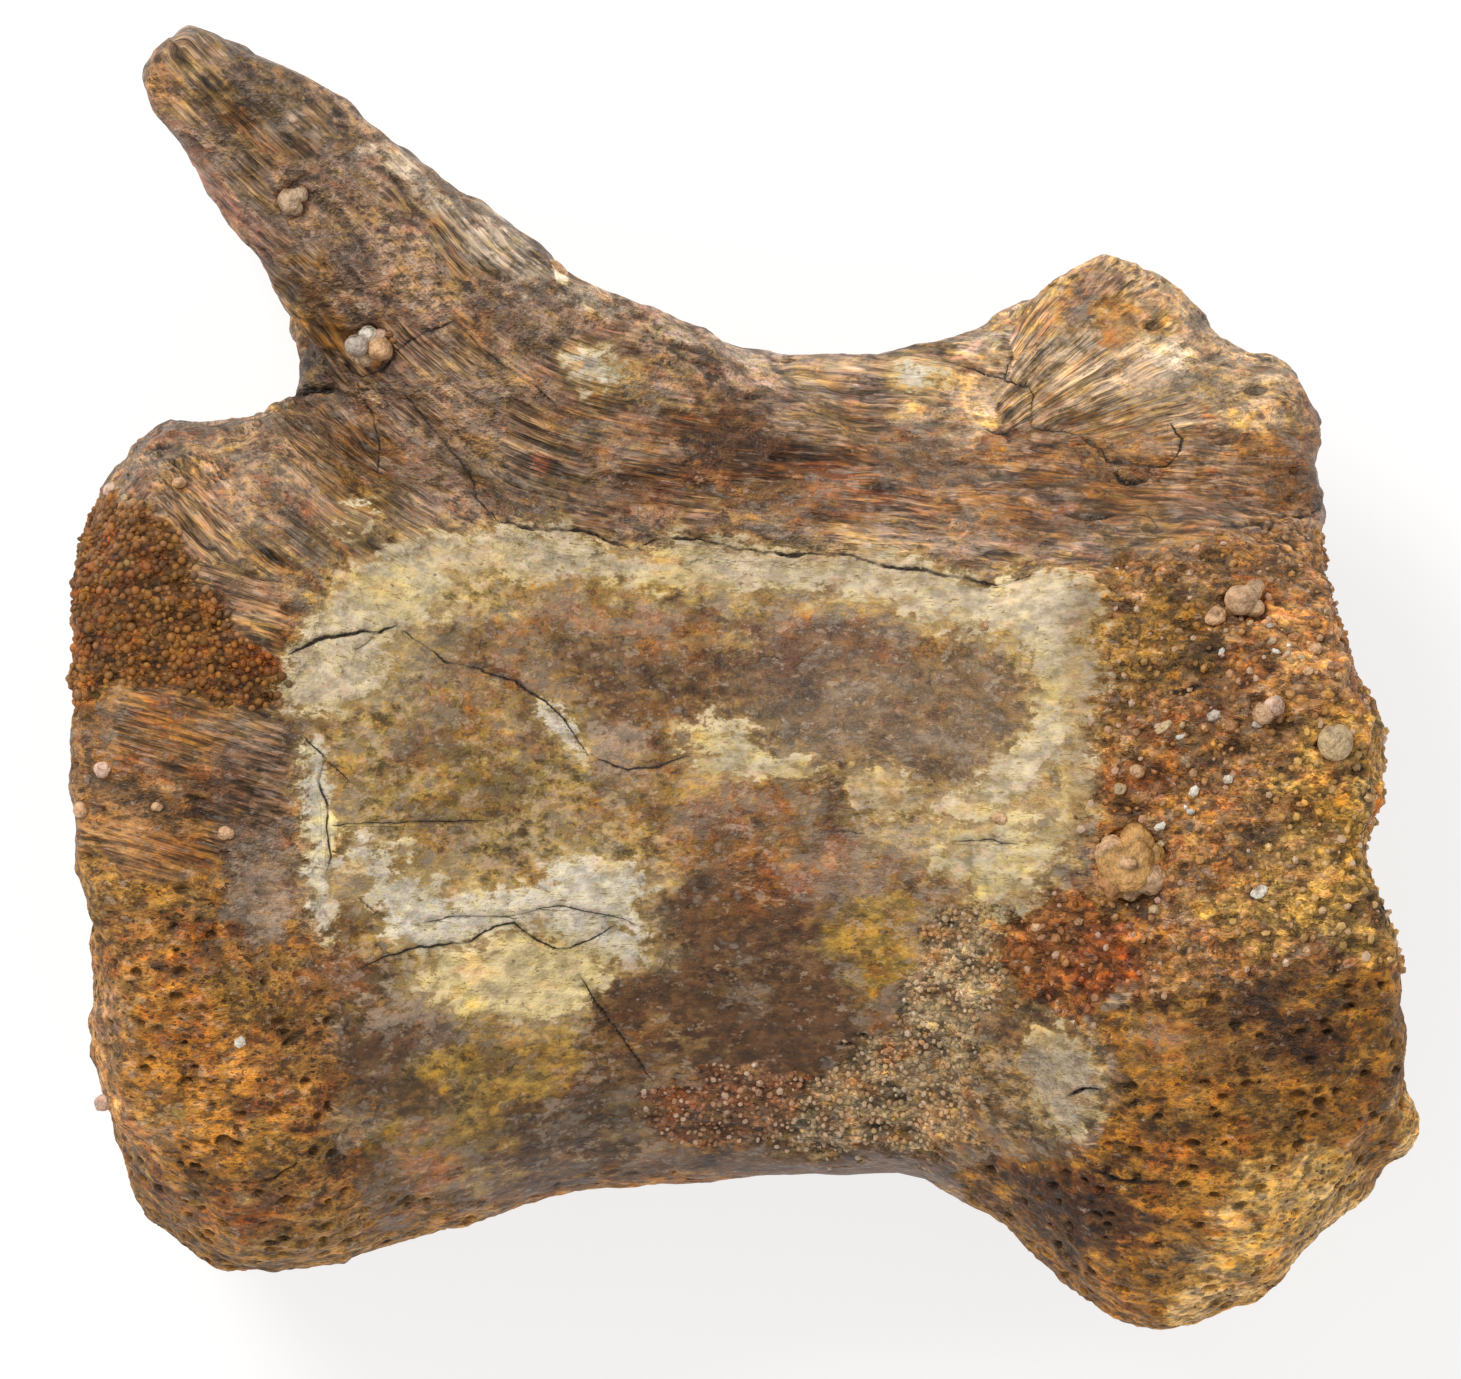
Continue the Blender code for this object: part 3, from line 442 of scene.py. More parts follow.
# Patches of the chalky layer that lies over it, with crisp edges
CHALK: tuple[Stain, ...] = (
    Stain("front lip, pale scrap", CHALK_WHITE,
          ((345, 520), (375, 515), (378, 540), (350, 545)), soft=0.99, ragged=1.18, strength=0.8),
    Stain("cream rim", CREAM,
          ((285, 700), (300, 650), (332, 598), (375, 555), (430, 530), (510, 530), (580, 534), (632, 550),
           (700, 542), (780, 556), (855, 558), (918, 571), (992, 590), (1030, 568), (1075, 582), (1078, 620),
           (1060, 680), (1062, 740), (1040, 775), (1000, 800), (955, 812), (930, 806), (992, 780), (1018, 745),
           (1032, 700), (1022, 655), (1000, 632), (940, 614), (850, 600), (760, 590), (700, 588), (640, 588),
           (560, 576), (500, 582), (455, 592), (412, 632), (385, 690), (355, 722), (330, 724)),
          soft=0.75, ragged=1.18),
    Stain("cream rim, yellow front", YELLOW_CREAM,
          ((380, 570), (440, 545), (480, 560), (470, 590), (420, 630), (390, 640), (360, 620)),
           soft=1.63, ragged=1.95, strength=0.8),
    Stain("cream rim, rear yellow", YELLOW_CREAM,
          ((935, 830), (1000, 800), (1050, 815), (1050, 870), (1010, 905), (965, 900), (930, 865)),
          soft=1.3, ragged=1.95, strength=0.6),
    Stain("cream rim, rear grey", GREY_CREAM,
          ((1045, 750), (1082, 742), (1098, 790), (1085, 832), (1050, 825)), soft=1.1, ragged=1.2, strength=0.8),
    Stain("cream rim, rear edge", GREY_CREAM,
          ((1058, 590), (1095, 590), (1092, 740), (1062, 740)), soft=1.6, ragged=1.6, strength=0.5),
    Stain("cream strip", CHALK_WHITE,
          ((313, 725), (340, 735), (337, 800), (347, 830), (338, 890), (347, 932), (322, 928), (318, 860),
           (312, 790)), soft=0.67, ragged=0.85),
    Stain("cream, low front", CHALK_WHITE,
          ((345, 860), (380, 832), (415, 855), (440, 895), (520, 880), (600, 850), (645, 858), (655, 900),
           (640, 940), (600, 955), (560, 940), (520, 925), (440, 950), (400, 945), (365, 905)),
           soft=0.99, ragged=2.06),
    Stain("tan patch", TAN_PATCH,
          ((425, 955), (500, 928), (520, 918), (560, 940), (610, 950), (600, 985), (560, 1012),
           (500, 1015), (455, 1000)), soft=0.99, ragged=1.18),
    Stain("white splinter", CHALK_WHITE,
          ((540, 705), (556, 712), (592, 752), (580, 757), (555, 738)), soft=0.67, ragged=0.74),
    Stain("cream, middle", YELLOW_CREAM,
          ((675, 720), (720, 712), (760, 732), (800, 768), (785, 788), (735, 780), (700, 760), (675, 745)),
           soft=0.99, ragged=1.62),
    Stain("cream, middle rear", GREY_CREAM,
          ((845, 775), (890, 765), (915, 795), (880, 812), (850, 800)), soft=0.7, ragged=1.4, strength=0.7),
    Stain("chip, white", GREY_CREAM,
          ((1030, 1045), (1075, 1050), (1098, 1085), (1085, 1118), (1045, 1126), (1020, 1090)),
          soft=0.6, ragged=2.2, strength=0.6),
    Stain("white spot on the saddle", CHALK_WHITE,
          ((895, 366), (925, 362), (955, 374), (935, 394), (900, 390)), soft=0.7, ragged=0.9),
    Stain("white scuffs", CHALK_WHITE,
          ((570, 355), (628, 360), (625, 388), (578, 386)), soft=0.8, ragged=1.0),
)

CRACKS: tuple[Crack, ...] = (
    Crack("process, front", ((300, 318), (325, 333), (345, 360), (352, 375), (366, 380)), width=0.23),
    Crack("process, rear", ((366, 380), (385, 372), (400, 354), (430, 336), (457, 325), (483, 350)),
          width=0.2),
    Crack("process, rear tail", ((483, 350), (520, 378), (565, 412)), width=0.11),
    Crack("under the process", ((292, 396), (312, 390), (335, 391), (357, 399)), width=0.61, depth=1.2),
    Crack("process root", ((360, 385), (368, 406), (383, 445), (384, 485)), width=0.18),
    Crack("process foot", ((402, 392), (430, 426), (473, 473), (480, 500), (502, 521)), width=0.18),
    Crack("suture, front", ((502, 521), (530, 529), (560, 530), (589, 533), (632, 551)),
          width=0.34, depth=0.75),
    Crack("suture, middle", ((643, 546), (666, 541), (699, 541), (739, 550), (779, 556)),
          width=0.22, depth=0.6),
    Crack("suture, opening", ((775, 555), (790, 558), (806, 556)), width=0.48, depth=0.9),
    Crack("suture, rear", ((806, 556), (852, 557), (885, 568), (918, 571), (958, 579), (995, 587)),
          width=0.31, depth=0.75),
    Crack("suture, tail", ((995, 587), (1031, 575)), width=0.1),
    Crack("rim, front", ((298, 655), (325, 641), (359, 633), (385, 633), (402, 626)), width=0.34, depth=0.6),
    Crack("rim, branch", ((385, 633), (372, 646), (360, 649)), width=0.1),
    Crack("hollow, long crack", ((408, 630), (434, 649), (451, 661), (480, 668), (517, 679), (548, 701),
          (566, 718), (591, 755)), width=0.2),
    Crack("hollow, crumbled line", ((600, 758), (630, 768), (660, 765), (690, 755)), width=0.24),
    Crack("strip, inner edge", ((313, 735), (333, 757), (327, 778), (336, 801), (336, 830), (339, 853),
          (333, 870)), width=0.2),
    Crack("strip, side crack", ((333, 757), (345, 765), (357, 779)), width=0.17),
    Crack("hollow, brown line", ((339, 823), (422, 819), (491, 818)), width=0.14),
    Crack("low chalk, main", ((363, 964), (403, 948), (426, 943), (476, 938), (499, 923), (517, 919),
          (540, 935), (558, 945), (573, 944), (617, 923)), width=0.2),
    Crack("low chalk, upper", ((417, 919), (470, 912), (513, 913), (549, 903), (570, 904), (623, 916),
          (649, 928)), width=0.12),
    Crack("low chalk, front", ((367, 894), (380, 906), (394, 913)), width=0.12),
    Crack("dark brown, slant", ((580, 969), (593, 991), (611, 1017), (626, 1038), (640, 1058), (655, 1079)),
          width=0.17),
    Crack("hollow, rear hairline", ((815, 827), (840, 830), (865, 830)), width=0.11),
    Crack("rear rim hairline", ((951, 840), (985, 838), (1014, 841)), width=0.12),
    Crack("stump, long crack", ((940, 359), (977, 369), (1028, 388), (1032, 396), (1029, 428), (1062, 434),
          (1080, 438)), width=0.15),
    Crack("stump, mouth", ((1078, 437), (1088, 442), (1098, 446)), width=0.61, depth=1.2),
    Crack("stump, loose block", ((1098, 446), (1103, 461), (1118, 467), (1162, 468), (1173, 459)),
          width=0.24),
    Crack("stump, block rear", ((1166, 426), (1180, 441), (1171, 461)), width=0.24),
    Crack("stump, step", ((1111, 475), (1122, 486), (1138, 483), (1150, 478)), width=0.41, depth=0.75),
    Crack("arch foot, rear", ((1073, 521), (1116, 516), (1139, 518), (1152, 527)), width=0.2),
    Crack("arch foot, rear break", ((1213, 527), (1256, 522), (1262, 530), (1268, 522), (1305, 516),
          (1316, 509)), width=0.34, depth=0.75),
    Crack("arch, hairline", ((981, 428), (995, 432), (1010, 430)), width=0.17),
    Crack("stump, hairline", ((1001, 379), (1006, 366), (1012, 354)), width=0.1),
    Crack("heel crack", ((1083, 1164), (1105, 1172), (1122, 1175), (1161, 1176)), width=0.37, depth=0.68),
    Crack("chip hole", ((1062, 1088), (1078, 1080), (1096, 1079)), width=0.34, depth=0.75),
    Crack("front, slit", ((200, 893), (225, 898), (248, 902)), width=0.24),
    Crack("front, low slit", ((255, 1177), (285, 1172), (302, 1160), (306, 1142)), width=0.17),
    Crack("saddle groove", ((600, 300), (640, 330), (690, 350), (740, 368), (800, 388), (870, 397),
          (960, 396)), width=0.34, depth=0.15, shade=0.22),
    Crack("saddle hollow", ((645, 338), (665, 345), (700, 355), (740, 364)),
          width=0.7, depth=0.3, shade=0.45),
    Crack("lip pit", ((150, 452), (165, 447), (178, 446)), width=0.48, depth=0.9),
    Crack("rear pit", ((1160, 692), (1178, 690), (1190, 686)), width=0.54, depth=1.05),
)


def on_bone(points: tuple[Place, ...]) -> np.ndarray:
    """Turns photograph pixels into places on the bone.

    Args:
        points: Pixel places, x to the right and y down.

    Returns:
        The same places in millimetres, x along the bone and y up it.
    """
    pixels = np.array(points, float)
    return (pixels - PHOTO_MIDDLE) * (1.0, -1.0) / PIXELS_PER_MM


def ease(value: np.ndarray) -> np.ndarray:
    """A ramp with level ends, for values from 0 to 1."""
    value = np.clip(value, 0.0, 1.0)
    return value * value * (3 - 2 * value)


def blend_rows(first: np.ndarray, second: np.ndarray, share: np.ndarray) -> np.ndarray:
    """Mixes two arrays, or an array and one row, by a share for each row."""
    weight = share if first.ndim == 1 else share[:, None]
    return first * (1 - weight) + second * weight


def lattice_values(cells: np.ndarray, seed: int) -> np.ndarray:
    """A fixed random value from -1 to 1 for each whole-number cell.

    Args:
        cells: Three rows of whole numbers.
        seed: Picks another set of values.

    Returns:
        One value for each cell.
    """
    x, y, z = cells.view(np.uint32)
    mixed = x * np.uint32(73856093) ^ y * np.uint32(19349663) ^ z * np.uint32(83492791)
    mixed ^= np.uint32((seed * 2654435761) & 0xFFFFFFFF)
    mixed ^= mixed >> np.uint32(13)
    mixed *= np.uint32(1274126177)
    mixed ^= mixed >> np.uint32(16)
    return (mixed & np.uint32(0xFFFF)).astype(np.float32) / np.float32(32767.5) - np.float32(1)


def noise(points: np.ndarray, size: float | tuple[float, float, float], seed: int, octaves: int = 2,
          fade: float = 0.5) -> np.ndarray:
    """Smooth noise from about -1 to 1.

    Args:
        points: Places in millimetres.
        size: Size of a lump, the same all round or along each axis.
        seed: Picks another field.
        octaves: How many finer layers are added.
        fade: How much weaker each finer layer is.

    Returns:
        One value for each point.
    """
    total = np.zeros(len(points), np.float32)
    weight, reach = 1.0, 0.0
    place = np.ascontiguousarray((points / np.array(size)).T.astype(np.float32))
    for octave in range(octaves):
        floor = np.floor(place)
        part = place - floor
        part = part * part * (3 - 2 * part)
        corner = floor.astype(np.int32)
        value = np.zeros(len(points), np.float32)
        for step in product((0, 1), repeat=3):
            share = np.float32(1)
            for axis, ahead in enumerate(step):
                share = share * (part[axis] if ahead else 1 - part[axis])
            value += share * lattice_values(corner + np.array(step, np.int32)[:, None], seed + 17 * octave)
        total += weight * value
        reach += weight
        weight *= fade
        place = place * np.float32(2.0) + np.float32(0.37)
    return total / reach * 1.4


def pits(points: np.ndarray, size: tuple[float, float, float], share: float, seed: int,
         where: np.ndarray) -> np.ndarray:
    """Round pits, one in some of the cells of a jittered grid.

    Args:
        points: Places in millimetres.
        size: Size of a cell along each axis.
        share: Share of the cells that hold a pit.
        seed: Picks another field.
        where: Strength at each point. Pits are only worked out where it isn't 0.

    Returns:
        The strength at the middle of a pit, falling to 0 at its edge.
    """
    chosen = where > 0.02
    place = np.ascontiguousarray((points[chosen] / np.array(size)).T.astype(np.float32))
    corner = np.floor(place).astype(np.int32)
    deepest = np.zeros(place.shape[1], np.float32)
    for step in product((-1, 0, 1), repeat=3):
        cell = corner + np.array(step, np.int32)[:, None]
        taken = lattice_values(cell, seed + 4) < 2 * share - 1
        gap = np.zeros(place.shape[1], np.float32)
        for axis in range(3):
            gap += (place[axis] - cell[axis] - 0.5 - 0.35 * lattice_values(cell, seed + axis)) ** 2
        radius = 0.34 + 0.13 * lattice_values(cell, seed + 3)
        deepest = np.maximum(deepest, np.where(taken, np.clip(1 - np.sqrt(gap) / radius, 0, 1), 0.0))
    result = np.zeros(len(points), np.float32)
    result[chosen] = np.sqrt(deepest) * where[chosen]
    return result


def rounded(outline: np.ndarray) -> np.ndarray:
    """A closed outline with its corners taken off, by one round of corner cutting."""
    after = np.roll(outline, -1, axis=0)
    return np.column_stack([0.75 * outline + 0.25 * after, 0.25 * outline + 0.75 * after]).reshape(-1, 2)


def depth_inside(points: np.ndarray, outline: np.ndarray, margin: float = 4.0) -> np.ndarray:
    """How deep each place lies inside a closed outline.

    Args:
        points: Places, x and y.
        outline: Corners of the outline.
        margin: Places further outside than this are only given as that far.

    Returns:
        Distance to the edge, negative outside.
    """
    result = np.full(len(points), -margin)
    near = np.all((points > outline.min(0) - margin) & (points < outline.max(0) + margin), axis=1)
    place = points[near]
    closest = np.full(len(place), np.inf)
    inside = np.zeros(len(place), bool)
    for start, end in zip(outline, np.roll(outline, -1, axis=0)):
        edge = end - start
        offset = place - start
        share = np.clip(offset @ edge / (edge @ edge), 0.0, 1.0)
        closest = np.minimum(closest, ((offset - share[:, None] * edge) ** 2).sum(axis=1))
        spans = (start[1] > place[:, 1]) != (end[1] > place[:, 1])
        rise = edge[1] if edge[1] else 1.0
        inside ^= spans & (place[:, 0] < start[0] + offset[:, 1] * edge[0] / rise)
    result[near] = np.maximum(np.where(inside, 1, -1) * np.sqrt(closest), -margin)
    return result


def fit_curve(points: np.ndarray, steps: int = 8) -> np.ndarray:
    """Points of a Catmull-Rom curve through the given ones."""
    padded = np.vstack([2 * points[0] - points[1], points, 2 * points[-1] - points[-2]])
    line = []
    for a, b, c, d in zip(padded, padded[1:], padded[2:], padded[3:]):
        for t in np.linspace(0.0, 1.0, steps, endpoint=False):
            line.append(0.5 * (2 * b + (c - a) * t + (2 * a - 5 * b + 4 * c - d) * t**2
                               + (3 * b - a - 3 * c + d) * t**3))
    return np.array([*line, points[-1]])


def along_and_across(points: np.ndarray, line: np.ndarray) -> tuple[np.ndarray, np.ndarray]:
    """Where each place lies by a curve.

    Args:
        points: Places, x and y.
        line: Points along the curve.

    Returns:
        Distance along the curve, and distance from it, positive on its left.
    """
    best = np.full(len(points), np.inf)
    along = np.zeros(len(points))
    across = np.zeros(len(points))
    travelled = 0.0
    for start, end in zip(line, line[1:]):
        edge = end - start
        length = float(np.hypot(*edge))
        offset = points - start
        share = np.clip(offset @ edge / length**2, 0.0, 1.0)
        gap = ((offset - share[:, None] * edge) ** 2).sum(axis=1)
        side = edge[0] * offset[:, 1] - edge[1] * offset[:, 0]
        closer = gap < best
        best = np.where(closer, gap, best)
        along = np.where(closer, travelled + share * length, along)
        across = np.where(closer, np.sign(side) * np.sqrt(gap), across)
        travelled += length
    return along, across


class FibreZone(Enum):
    """The parts of the bone in which the fibres run in one way."""

    LEVEL = 0
    FRONT = 1
    ARCH = 2
    STUMP = 3
    HEEL = 4


@dataclass
class FibreFlow:
    """Which way the bone's fibres run: along the arch and the process, and fanned at the stump and heel."""

    line: tuple[Place, ...] = ((1320, 480), (1100, 470), (900, 440), (700, 420), (560, 390), (450, 320),
                               (370, 230), (280, 150), (190, 60))
    stump_focus: Place = (918, 480)
    heel_focus: Place = (942, 985)
    stump_from: Place = (1010, 440)
    heel_from: Place = (1110, 960)
    front_to: float = 440
    arch_foot: float = 568
    front_tilt: float = -0.28
    fan_scale: float = 24.0

    def zones(self, points: np.ndarray) -> np.ndarray:
        """Which zone each point lies in, with ragged borders between them.

        Args:
            points: Places in millimetres.

        Returns:
            The number of a FibreZone for each point.
        """
        ragged = np.column_stack([noise(points, 3.0, 45, 3), noise(points, 3.0, 46, 3)])
        x, y = (points[:, :2] + 2.5 * ragged).T
        (front, foot), (stump_x, stump_y), (heel_x, heel_y) = on_bone(
            ((self.front_to, self.arch_foot), self.stump_from, self.heel_from))
        zone = np.where(x < front, FibreZone.FRONT.value, FibreZone.LEVEL.value)
        zone[(x > heel_x) & (y < heel_y)] = FibreZone.HEEL.value
        zone[y > foot] = FibreZone.ARCH.value
        zone[(x > stump_x) & (y > stump_y)] = FibreZone.STUMP.value
        return zone

    def coordinates(self, points: np.ndarray, zones: np.ndarray) -> np.ndarray:
        """Works out the fibre coordinates of each point.

        Args:
            points: Places in millimetres.
            zones: The zone whose rule holds for each point.

        Returns:
            Coordinates along, across and through the fibres, in millimetres.
        """
        result = points.copy()
        flat = points[:, :2]
        turn = np.array([[math.cos(self.front_tilt), math.sin(self.front_tilt)],
                         [-math.sin(self.front_tilt), math.cos(self.front_tilt)]])
        front = zones == FibreZone.FRONT.value
        result[front, :2] = flat[front] @ turn.T
        arch = zones == FibreZone.ARCH.value
        result[arch, :2] = np.column_stack(along_and_across(flat[arch], fit_curve(on_bone(self.line))))
        for zone, focus in ((FibreZone.STUMP, self.stump_focus), (FibreZone.HEEL, self.heel_focus)):
            chosen = zones == zone.value
            offset = flat[chosen] - on_bone((focus,))[0]
            result[chosen, 0] = np.hypot(*offset.T)
            result[chosen, 1] = np.arctan2(offset[:, 1], offset[:, 0]) * self.fan_scale
        return result


@dataclass
class SurfacePaint:
    """Paints tones and kinds of surface over points of the bone."""

    base: Finish = PROCESS_BROWN
    far_side_warp: float = 6.0
    patch_size: tuple[float, float, float] = (5.6, 2.6, 3.8)
    fleck_size: tuple[float, float, float] = (1.9, 0.85, 1.4)
    edge_size: tuple[float, float, float] = (5.2, 3.2, 3.8)
    raggedness: float = 2.1
    inner_scale: tuple[float, float, float] = (1.5, 1.0, 1.3)
    busy_size: float = 9.0
    worn_through: float = 0.5

    def textures(self, points: np.ndarray) -> dict[str, np.ndarray]:
        """The share of each texture at each point, and how deep it lies in the chalky layer."""
        flat = self._spread(points)
        shares = self._shares(self._covers(points, flat))
        shares["chalk"] = self._chalk(points, flat)[0]
        return shares

    def paint(self, points: np.ndarray, flow: np.ndarray) -> dict[str, np.ndarray]:
        """Works out everything that the skin's material reads.

        Args:
            points: Places in millimetres.
            flow: Fibre coordinates.

        Returns:
            Named values for each point: tones, shares of each texture, fleck levels, the depth inside
            the chalky layer, and the cracks.
        """
        flat = self._spread(points)
        covers = self._covers(points, flat)
        looks = np.tile(finish_row(self.base), (len(points), 1))
        for stain, cover in zip(GROUND, covers):
            looks = blend_rows(looks, finish_row(stain.finish), cover)
        chalk, chalk_looks = self._chalk(points, flat)
        gap, shade, _ = crack_field(points, flat)
        values = self._shares(covers)
        values.update(chalk=chalk, crack=gap, crack_shade=shade)
        place = np.where((values["fibrous"] > 0.5)[:, None], flow, points * self.inner_scale)
        busy = 0.25 * noise(place, self.busy_size, 47)
        for name, level, seed in (("dark_patch", 3, 23), ("pale_patch", 4, 24)):
            values[name] = noise(place, self.patch_size, seed, 4, 0.7) - 0.62 + 1.3 * looks[:, level] + busy
        values["streaky"] = values["fibrous"] * ease(0.40 + 1.8 * noise(points, self.busy_size / 2, 48, 3))
        values["tone"] = self._fleck(looks, place, 1.0)
        values["chalk_tone"] = self._fleck(chalk_looks, points, 0.7)
        values["dark"], values["pale"], values["ochre"], values["rust"] = looks[:, 3:].T
        return values

    def _shares(self, covers: list[np.ndarray]) -> dict[str, np.ndarray]:
        """The share of each texture at each point, from how much each stain covers it."""
        shares = {kind.value: np.zeros_like(covers[0]) for kind in Texture}
        shares[self.base.texture.value] += 1.0
        for stain, cover in zip(GROUND, covers):
            for kind, share in shares.items():
                share *= 1 - cover
                if kind == stain.finish.texture.value:
                    share += cover
        return shares

    def _covers(self, points: np.ndarray, flat: np.ndarray) -> list[np.ndarray]:
        """How much each stain of the ground covers each point."""
        clouds = [noise(points, self.edge_size, seed, 5, 0.72) for seed in (11, 12, 13)]
        worn = [self.worn_through * covered(noise(points, self.patch_size, seed, 4, 0.7), 0.25, 0.35)
                for seed in (15, 16, 17)]
        covers = []
        for index, stain in enumerate(GROUND):
            sign = 1 if index % 2 else -1
            depth = depth_inside(flat, rounded(on_bone(stain.outline)))
            depth += self.raggedness * stain.ragged * sign * clouds[index % 3]
            cover = ease(0.5 + depth / (2 * stain.soft)) * stain.strength
            if stain.strength < 1:
                cover *= 1 - worn[(index + 1) % 3]
            covers.append(cover.astype(np.float32))
        return covers

    def _chalk(self, points: np.ndarray, flat: np.ndarray) -> tuple[np.ndarray, np.ndarray]:
        """How far inside the chalky layer each point lies, in millimetres, and the layer's looks."""
        cloud = noise(points, self.edge_size, 14, 4, 0.62)
        looks = np.tile(finish_row(CREAM), (len(points), 1))
        deepest = np.full(len(points), -3.0)
        for stain in CHALK:
            depth = depth_inside(flat, rounded(on_bone(stain.outline)))
            inside = depth + 1.5 * stain.ragged * cloud - (1 - stain.strength) * 1.2
            deepest = np.maximum(deepest, inside / stain.soft)
            looks = blend_rows(looks, finish_row(stain.finish), ease(0.5 + (depth + 2 * cloud) / 2.4))
        return np.clip(deepest, -3.0, 3.0), looks

    def _fleck(self, looks: np.ndarray, place: np.ndarray, strength: float) -> np.ndarray:
        """Breaks tones up into lighter, darker, yellower and redder patches of two sizes.

        The crisp dark and pale patches are left to the material.

        Args:
            looks: Colours and fleck levels.
            place: Where the patches are looked up.
            strength: How far they go.

        Returns:
            The colours.
        """
        tone = looks[:, :3].copy()
        strength = strength * np.clip(0.85 + 0.8 * noise(place, self.busy_size, 47), 0.35, 1.3)
        for size, seed in ((self.patch_size, 21), (self.fleck_size, 31)):
            for step, tint in enumerate((OCHRE_TINT, RUST_TINT)):
                cover = covered(noise(place, size, seed + step, 4, 0.66), looks[:, 5 + step], 0.35)
                tone = blend_rows(tone, tone * tint, cover * strength)
            tone *= np.clip(1 + 0.38 * strength * noise(place, size, seed + 4, 4, 0.66), 0.45, 1.7)[:, None]
        return tone

    def _spread(self, points: np.ndarray) -> np.ndarray:
        """Places to look up in the outlines: true on the upper side, shuffled on the far one."""
        below = ease((MIDLINE - 4.0 - points[:, 2]) / 14.0)[:, None] * self.far_side_warp
        shift = np.column_stack([noise(points, 16.0, 41), noise(points, 16.0, 42)])
        return points[:, :2] + below * shift


def covered(cloud: np.ndarray, level: np.ndarray | float, soft: float) -> np.ndarray:
    """Where a cloud of noise covers the surface, so that a level of 0.25 covers about a quarter of it."""
    return ease(0.5 + (cloud - 0.62 + 1.3 * level) / soft)


def finish_row(finish: Finish) -> np.ndarray:
    """A finish's colour and fleck levels as one row."""
    return np.array((*finish.colour, finish.dark, finish.pale, finish.ochre, finish.rust), np.float32)


def crack_field(points: np.ndarray, flat: np.ndarray) -> tuple[np.ndarray, np.ndarray, np.ndarray]:
    """Where the cracks run.

    Args:
        points: Places in millimetres.
        flat: Places to look up in the cracks' paths.

    Returns:
        Signed distance to the nearest crack in half widths, how dark it is, and how deep it cuts.
    """
    wobble = np.column_stack([noise(points, 1.3, 51), noise(points, 1.3, 52)]) * 0.16
    place = flat + wobble
    gap = np.full(len(points), 6.0)
    shade = np.zeros(len(points))
    cut = np.zeros(len(points))
    upper = ease((points[:, 2] - MIDLINE) / 4.0)
    broken = np.clip(0.9 + 1.1 * noise(points, 1.7, 53), 0.45, 1.0)
    for crack in CRACKS:
        line = on_bone(crack.path)
        near = np.all((place > line.min(0) - 1.5) & (place < line.max(0) + 1.5), axis=1)
        along, across = along_and_across(place[near], line)
        length = np.hypot(*np.diff(line, axis=0).T).sum()
        ends = np.clip(np.minimum(along, length - along) / (0.18 * length + 0.2), 0.0, 1.0)
        half = crack.width / 2 * (0.25 + 0.75 * np.sqrt(ends))
        here = across / half
        closer = np.abs(here) < np.abs(gap[near])
        gap[near] = np.where(closer, np.clip(here, -6.0, 6.0), gap[near])
        fade = ease((1.1 - np.abs(across)) / 0.5) * crack.shade * upper[near]
        shade[near] = np.where(closer, fade * broken[near], shade[near])
        groove = np.clip(1 - np.abs(across) / np.maximum(half, 0.2), 0.0, 1.0)
        groove *= crack.depth * (0.3 + 0.7 * ends) * upper[near] * broken[near]
        cut[near] = np.maximum(cut[near], groove)
    return gap, shade, cut


